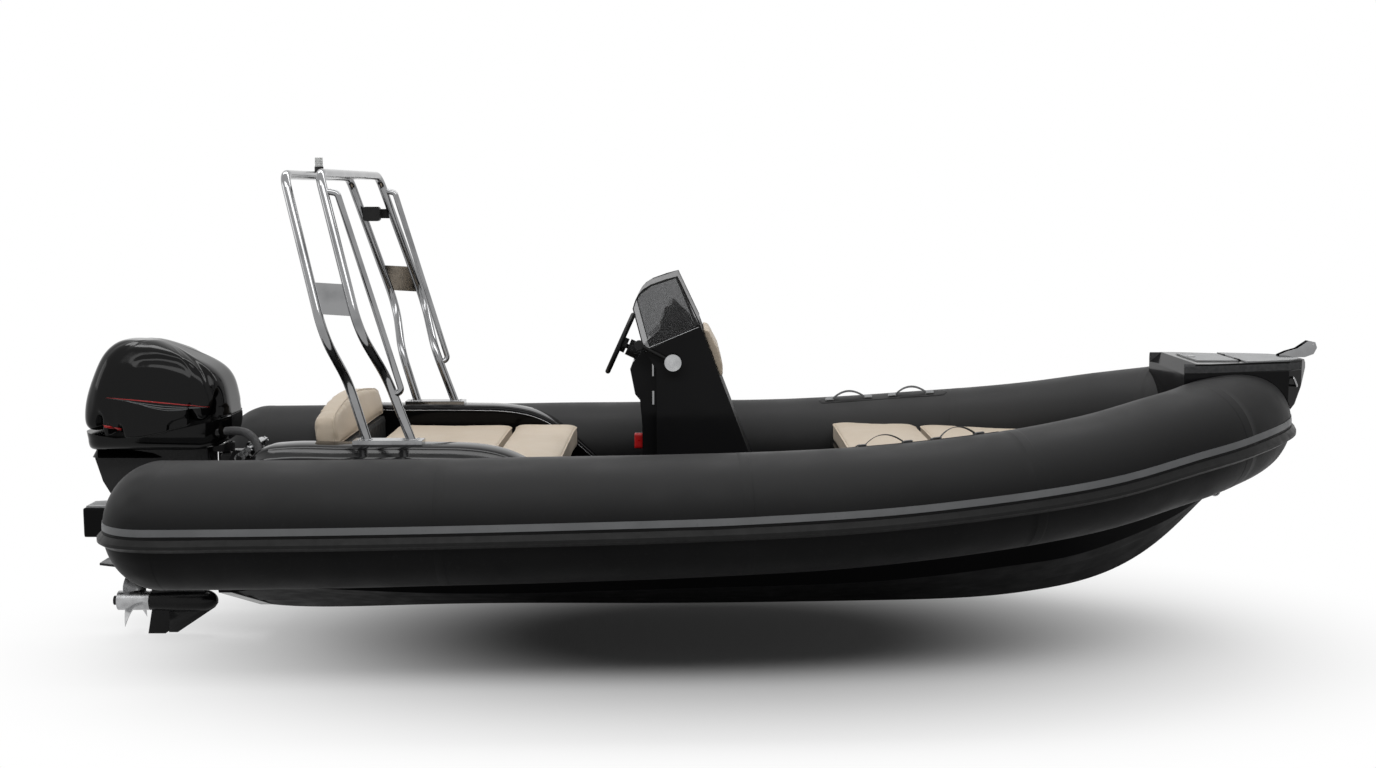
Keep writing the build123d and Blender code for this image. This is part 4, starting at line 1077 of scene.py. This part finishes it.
def trim_outline(places):
    """Draws the cowl in towards its middle, as seen from the side, by the shares in the table."""
    fine = np.arange(-180, 180.5, 0.5)
    share = np.interp(fine, [r[0] for r in COWL_TRIM], [r[1] for r in COWL_TRIM])
    bell = np.exp(-0.5 * (np.arange(-40, 41) / 13.0) ** 2)
    share = np.convolve(np.pad(share, 40, "edge"), bell / bell.sum(), "valid")
    x, z = places[:, 0] - COWL_CENTRE.x, places[:, 2] - COWL_TRIM_Z
    turn = np.degrees(np.arctan2(z, -x))
    size = 1 + (np.interp(turn, fine, share) - 1) * ease(np.hypot(x, z), 0.06, 0.30)
    places[:, 0] = x * size + COWL_CENTRE.x
    places[:, 2] = z * size + COWL_TRIM_Z
    return places


def cowl_reach(columns, rows):
    """The CAD cowl's reach from its middle above the seam, smoothed, and the ways it was read along."""
    tree = tree_of(NODES["top_cowl"].data)
    seam_x, seam_z = [p[0] for p in SEAM], [p[1] for p in SEAM]

    def cast(turn, climb):
        way = Vector((cos(turn) * cos(climb), sin(turn) * cos(climb), sin(climb)))
        hit = tree.ray_cast(COWL_CENTRE + way * 2, -way)[0]
        return (hit - COWL_CENTRE).length if hit else None, way

    radius = np.zeros((rows, columns))
    ways = np.zeros((rows, columns, 3))
    for k in range(columns):
        turn = 2 * pi * k / columns
        low, high = radians(-55), radians(20)
        for _ in range(16):
            middle = (low + high) / 2
            size, way = cast(turn, middle)
            place = COWL_CENTRE + way * size if size else None
            if place is not None and place.z > np.interp(place.x, seam_x, seam_z) + 0.0012:
                high = middle
            else:
                low = middle
        for row in range(rows):
            climb = high + (radians(89.6) - high) * row / (rows - 1)
            size, way = cast(turn, climb)
            radius[row, k] = size if size else radius[row - 1, k]
            ways[row, k] = way
    for _ in range(14):
        radius = (np.roll(radius, 1, 1) + 2 * radius + np.roll(radius, -1, 1)) / 4
        radius[1:-1] = (radius[:-2] + 2 * radius[1:-1] + radius[2:]) / 4
    return radius, ways


def smooth_grid(grid, rounds):
    """Evens out a grid of points round the cowl, but not the rows next to its seam."""
    share = ease(np.arange(len(grid)), 2, 24)[1:-1, None, None]
    for _ in range(rounds):
        around = (np.roll(grid, 1, 1) + np.roll(grid, -1, 1)) / 2
        soft = 0.5 * grid[1:-1] + 0.25 * around[1:-1] + 0.125 * (grid[:-2] + grid[2:])
        grid[1:-1] += share * (soft - grid[1:-1])
    return grid


def cowl_shell():
    """The cowl's skin, laid over the CAD form and then sculpted, and its seal."""
    columns, rows = 360, 130
    radius, ways = cowl_reach(columns, rows)
    points = (np.array(COWL_CENTRE) + ways * radius[:, :, None]).reshape(-1, 3)
    inner = points[:columns].copy()
    middle = inner.mean(0)
    inner[:, :2] += (middle[:2] - inner[:, :2]) * 0.035
    count, top, last = len(points), len(points) + columns, (rows - 1) * columns
    faces = bands([points[i * columns:(i + 1) * columns] for i in range(rows)])
    faces += [(last + k, last + (k + 1) % columns, top) for k in range(columns)]
    faces += [(count + k, count + (k + 1) % columns, (k + 1) % columns, k) for k in range(columns)]
    places = np.vstack([points, inner, points[-columns:].mean(0)])
    shell = new_piece("cowl_shell", places, faces, "cowl_black", "engine")
    outward = points - np.array([0, 0, 0.18]) - np.array(COWL_CENTRE)
    outward[:, 0] *= 0.25
    outward /= np.linalg.norm(outward, axis=1)[:, None]
    carved = (points + outward * sculpt(points)[:, None]).reshape(rows, columns, 3)
    places[:count] = smooth_grid(carved, 30).reshape(-1, 3)
    set_points(shell, trim_outline(places))
    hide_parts("top_cowl")
    ring = [Vector(p) for p in places[:columns:3]]
    tube_piece("cowl_seal", ring, 0.0032, "matte_black", "engine", closed=True)
    return shell


def cowl_pan():
    """The lower cowl, drawn in at its lip to meet the trimmed skin."""
    piece = copy_of("lower_cowl", "lower_cowl_skin")
    for vertex in piece.data.vertices:
        high = min(1.0, max(0.0, (vertex.co.z - PAN_LOW) / PAN_LIP))
        share = 1 - 0.055 * high - 0.015
        vertex.co.x = COWL_CENTRE.x + (vertex.co.x - COWL_CENTRE.x) * share
        vertex.co.y *= share
    settle(piece, "cowl_black", "engine")
    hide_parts("lower_cowl")


def make_cowl():
    """The cowl, its lower pan, and the coloured lines on its sides."""
    skin = tree_of(cowl_shell().data)
    cowl_pan()
    line = smooth_line([(x, 0, z) for x, z in RED_LINE], 16)
    dash = smooth_line([(x, 0, z) for x, z in RED_DASH], 8)
    for side, name in ((-1, "starboard"), (1, "port")):
        wide = [0.0004 + 0.0052 * sin(pi * i / (len(line) - 1)) ** 0.7 for i in range(len(line))]
        ribbon("cowl_red_line_" + name, line, wide, "signal_red", skin, side)
        for row, (drop, thick, start) in enumerate(SILVER_LINES):
            sag = line[start:len(line) - start // 2]
            count = len(sag) - 1
            lowered = []
            for i, place in enumerate(sag):
                lowered.append(place - Vector((0, 0, drop * sin(pi * (i / count) ** 1.15) + 0.003)))
            wide = [0.0004 + thick * sin(pi * i / count) for i in range(len(sag))]
            ribbon(f"cowl_silver_line_{row}_{name}", lowered, wide, "stripe_grey", skin, side)
        ribbon("cowl_red_dash_" + name, dash, [0.012] * len(dash), "signal_red", skin, side)


def ribbon(name, line, widths, slot, tree, side):
    """A thin strip laid on a surface that faces sideways; line gives x and z."""
    rings = []
    for i, place in enumerate(line):
        way = (line[min(i + 1, len(line) - 1)] - line[max(i - 1, 0)]).normalized()
        up = Vector((-way.z, 0, way.x))
        edges = []
        for reach in (-0.5, -0.17, 0.17, 0.5):
            start = place + up * (reach * widths[i])
            start.y = side * 1.6
            hit, normal, _, _ = tree.ray_cast(start, Vector((0, -side, 0)))
            if hit is None:
                break
            edges.append((hit, normal))
        if len(edges) == 4:
            rings.append([h + n * 0.0006 for h, n in edges] + [h - n * 0.002 for h, n in edges[::-1]])
    piece = new_piece(name, flatten(rings), capped(rings), slot, "engine")
    tidy_normals(piece)
    return piece


# ---- Decks, platforms and other hard parts ------------------------------------------------
# x, height of the side deck's top
DECK_LINE = (
    (-2.160, 0.535), (-2.140, 0.565), (-2.105, 0.596), (-2.060, 0.615), (-2.000, 0.622), (-1.700, 0.623),
    (-1.300, 0.622), (-1.140, 0.618), (-1.050, 0.608), (-0.965, 0.588), (-0.890, 0.556), (-0.800, 0.498),
    (-0.690, 0.405), (-0.600, 0.318), (-0.520, 0.190), (-0.455, 0.100),
)


def deck_section(height):
    """The side deck's section, y outward and z up, with rounded edges."""
    low, edge = 0.093, 0.022
    points = [(0.620, low), (0.620, max(low, height - edge))]
    for k in range(1, 7):
        turn = radians(15 * k)
        points.append((0.620 + edge * (1 - cos(turn)), height - edge + edge * sin(turn)))
    points += [(0.700, height + 0.0006), (0.758, height - 0.0006)]
    for k in range(1, 6):
        share = k / 5
        points.append((0.758 + 0.042 * share, height - 0.002 - 0.016 * share**2))
    points += [(0.860, height - 0.036), (0.925, height - 0.062), (0.925, low)]
    return [(y, max(z, low)) for y, z in points]


def make_side_decks():
    """The side decks, a bright trim on their inner edges, and a dark gasket against the tubes."""
    line = smooth_line([(x, 0, z) for x, z in DECK_LINE], 8)
    rings = [[Vector((p.x, y, z)) for y, z in deck_section(p.z)] for p in line]
    port = new_piece("side_deck_skin_port", flatten(rings), capped(rings), "gelcoat_black")
    paint(port, "deck_gloss")
    tidy_normals(port)
    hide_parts("side_deck_port")
    twin = mirrored(port, "side_deck_skin_starboard")
    paint(twin, "deck_gloss")
    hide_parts("side_deck_starboard")
    trim = [Vector((p.x, 0.6195, p.z - 0.026)) for p in line[8:-20]]
    bead = tube_piece("deck_trim_port", trim, 0.0022, "polished_steel")
    mirrored(bead, "deck_trim_starboard")
    gasket = []
    for p in line[6:-34]:
        far = tube_distance(p.x)
        centre, radius, _, _, _ = tube_frame(far)
        height = min(p.z - 0.050, centre.z + radius - 0.004)
        reach = sqrt(max(0.0, (radius + 0.002) ** 2 - (height - centre.z) ** 2))
        gasket.append(Vector((p.x, centre.y - reach * (1 if p.z < 0.60 else 0.25), height)))
    rope = tube_piece("deck_gasket_port", smooth_line(gasket[::6], 4), 0.005, "strake_rubber")
    mirrored(rope, "deck_gasket_starboard")


def softened(node, name, slot, voxel, rounds):
    """A CAD form with its edges rounded over."""
    piece = copy_of(node, name)
    remesh(piece, voxel)
    soften(piece, rounds)
    apply_modifiers(piece)
    settle(shade_smooth(piece), slot)
    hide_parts(node)


def box_piece(name, low, high, slot, body="boat", bevel=0.0):
    shape = bmesh.new()
    bmesh.ops.create_cube(shape, size=1.0)
    low, high = Vector(low), Vector(high)
    for vertex in shape.verts:
        vertex.co = Vector([low[i] + (vertex.co[i] + 0.5) * (high[i] - low[i]) for i in range(3)])
    if bevel:
        bmesh.ops.bevel(
            shape, geom=shape.edges[:], offset=bevel, segments=3, profile=0.5, affect="EDGES"
        )
    return settle(stand(name, mesh_of(name, shape)), slot, body)


def turned(name, profile, place, axis, slot, sides):
    """A turned piece: profile of (radius, height) along an axis from a place."""
    axis = Vector(axis).normalized()
    across = axis.orthogonal().normalized()
    other = axis.cross(across)
    rings = []
    for radius, height in profile:
        middle = Vector(place) + axis * height
        reach = max(radius, 1e-5)
        rings.append([middle + (across * cos(turn) + other * sin(turn)) * reach for turn in circle(sides)])
    return new_piece(name, flatten(rings), capped(rings), slot)


BOLT = ((0.0075, -0.001), (0.0075, 0.0015), (0.0066, 0.0035), (0.0045, 0.0048), (0.0, 0.0052))
FOOT_TOP = 0.641
FOOT_Y = 0.700


def make_platforms():
    """The swim platforms, the lines on their pads, and the battery switch's key."""
    for side in ("port", "starboard"):
        softened("swim_platform_" + side, "swim_platform_skin_" + side, "gelcoat_black", 0.006, 7)
    lines = []
    for sign in (-1, 1):
        for y in (0.470, 0.500, 0.530):
            low = (-2.975, sign * y - 0.0018, 0.2985)
            high = (-2.600, sign * y + 0.0018, 0.3008)
            lines.append(box_piece("line", low, high, "strake_rubber"))
    join("platform_pad_lines", lines, "strake_rubber")
    softened("battery_switch", "battery_switch_key", "signal_red", 0.003, 9)


def make_fastenings():
    """Bolt heads and weld beads of the roll bar's feet."""
    bolts, welds = [], []
    for sign in (-1, 1):
        for x in (-1.645, -1.375):
            for y in (0.676, 0.724):
                place = (x, sign * y, FOOT_TOP)
                bolts.append(turned("bolt", BOLT, place, (0, 0, 1), "polished_steel", sides=16))
        for x in (-1.612, -1.407):
            ring = []
            for turn in circle(32):
                y = sign * FOOT_Y + 0.0235 * sin(turn)
                ring.append(Vector((x + 0.0245 * cos(turn), y, FOOT_TOP + 0.001)))
            welds.append(tube_piece("weld", ring, 0.0035, "polished_steel", closed=True))
    for sign, name in ((1, "port"), (-1, "starboard")):
        low = (-1.672, sign * FOOT_Y - 0.046, 0.6215)
        high = (-1.348, sign * FOOT_Y + 0.046, FOOT_TOP + 0.0015)
        box_piece("foot_plate_" + name, low, high, "polished_steel", bevel=0.002)
    join("foot_bolts", bolts, "polished_steel")
    join("foot_welds", welds, "polished_steel")


STEP_EDGE = ((2.300, 0.300), (2.420, 0.300), (2.640, 0.2350), (2.860, 0.170), (2.945, 0.0985))
# how far out and at what height the band's corners lie
STEP_BAND = ((0.0015, 0.907), (0.0015, 0.938), (-0.006, 0.9495), (-0.010, 0.949), (-0.010, 0.907))


def make_bow_fittings():
    """The grey band round the step, the hatch latch and the light's lens ribs."""
    for side, name in ((1, "port"), (-1, "starboard")):
        rings = []
        for x, y in STEP_EDGE:
            rings.append([Vector((x, side * (y + out), z)) for out, z in STEP_BAND])
        band = new_piece("step_band_" + name, flatten(rings), capped(rings), "webbing_grey", smooth=False)
        tidy_normals(band)
        base = [(x, side * (y - 0.002), 0.9035) for x, y in STEP_EDGE]
        tube_piece("step_band_bead_" + name, base, 0.0028, "strake_rubber")
    low, high = (2.408, -0.020, 0.9555), (2.440, 0.020, 0.9600)
    box_piece("hatch_latch", low, high, "polished_steel", "anchor_hatch", 0.0015)
    for k in range(5):
        z = 1.895 + 0.0105 * k
        ring = [Vector((-1.960 + 0.0192 * cos(turn), 0.0192 * sin(turn), z)) for turn in circle(32)]
        tube_piece(f"lens_rib_{k}", ring, 0.0013, "light_lens", closed=True)


SCREEN_EDGE = (
    (-0.062, 1.146), (-0.172, 1.378), (-0.230, 1.361), (-0.300, 1.336), (-0.336, 1.314), (-0.358, 1.290),
    (-0.374, 1.258), (-0.386, 1.222), (-0.358, 1.116), (-0.330, 1.010),
)


def two_finishes(node, name, slot, other, takes_other):
    """A CAD form with another finish on the faces whose normal asks for it."""
    piece = settle(copy_of(node, name), slot)
    piece.data.materials.append(FINISHES[other].material)
    for face in piece.data.polygons:
        face.material_index = int(takes_other(face.normal))
        face.use_smooth = False
    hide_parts(node)


def make_helm_skins():
    """A screen whose front, roof and edges take an opaque darker copy of its smoked finish as painted shade,
    and a console with a dull front.
    """
    two_finishes("windscreen", "screen_panes", "smoked_acrylic", "smoked_painted_shade", lambda way: abs(way.y) <= 0.7)
    two_finishes("console", "console_moulding", "gelcoat_black", "hull_black", lambda way: way.x > 0.6)


# the bright strips beside the helm: name, x from and to, height from and to
CONSOLE_STRIPS = (("high", -0.296, -0.286, 0.885, 0.960), ("low", -0.296, -0.284, 0.745, 0.815))
CONSOLE_SEAM = ((-0.322, 1.0265), (-0.260, 1.052), (-0.160, 1.094), (-0.066, 1.133))
# sideways place, radius, name
DIALS = ((-0.130, 0.040, "starboard"), (0.130, 0.040, "port"), (0.0, 0.047, "middle"))
DIAL_WAY = Vector((-0.932, 0, 0.362))


def make_console_fittings():
    """Screen edge trim, the bright seam and strips, and the dials."""
    for side, name in ((1, "port"), (-1, "starboard")):
        edge = [(x, side * 0.3085, z) for x, z in SCREEN_EDGE]
        tube_piece("screen_trim_" + name, edge, 0.0028, "matte_black")
        seam = smooth_line([(x, side * 0.3105, z) for x, z in CONSOLE_SEAM], 6)
        tube_piece("console_seam_" + name, seam, 0.0020, "polished_steel")
        for part, aft, fore, low, high in CONSOLE_STRIPS:
            near, away = (aft, side * 0.2560 - 0.004, low), (fore, side * 0.2560 + 0.004, high)
            box_piece(f"console_strip_{part}_{name}", near, away, "polished_steel", bevel=0.002)
    for y, size, name in DIALS:
        place = Vector((-0.2405, y, 1.1660))
        inner = size - 0.007
        rim = ((size, 0.0), (size, 0.006), (size - 0.003, 0.009), (inner, 0.006), (inner, 0.003))
        turned("dial_rim_" + name, rim, place, DIAL_WAY, "polished_steel", sides=40)
        plate = ((inner, 0.0), (size - 0.008, 0.0036))
        turned("dial_face_" + name, plate, place, DIAL_WAY, "matte_black", sides=40)
        foot = place + DIAL_WAY * 0.0045
        tip = foot + Vector((0.010, 0.010, 0.024))
        tube_piece("dial_needle_" + name, (foot, tip), 0.0011, "signal_red", sides=6)


FAIRING = (
    (-2.543, -0.292), (-2.540, -0.318), (-2.556, -0.341), (-2.754, -0.474), (-2.800, -0.474),
    (-2.790, -0.352),
)


def make_skeg_fairing():
    """The skeg's leading edge, faired into the gearcase's nose."""
    rings = []
    middle = Vector((-2.70, 0, -0.37))
    for y, grow in ((-0.020, 0.94), (-0.012, 0.985), (0.0, 1.0), (0.012, 0.985), (0.020, 0.94)):
        ring = []
        for x, z in FAIRING:
            thin = 1.0 if z > -0.36 else 0.45
            place = middle + (Vector((x, 0, z)) - middle) * grow
            ring.append(Vector((place.x, y * thin, place.z)))
        rings.append(ring)
    piece = new_piece("skeg_fairing", flatten(rings), capped(rings), "engine_black", "engine")
    tidy_normals(piece)


make_camera()
make_world()
make_floor()
make_lamps()
bpy.context.scene.view_settings.view_transform = "Standard"
paint_frame()

make_hose()
make_tubes()
make_handles()
make_cushions()
make_cowl()
make_side_decks()
make_helm_skins()
make_platforms()
make_fastenings()
make_bow_fittings()
make_console_fittings()
make_skeg_fairing()
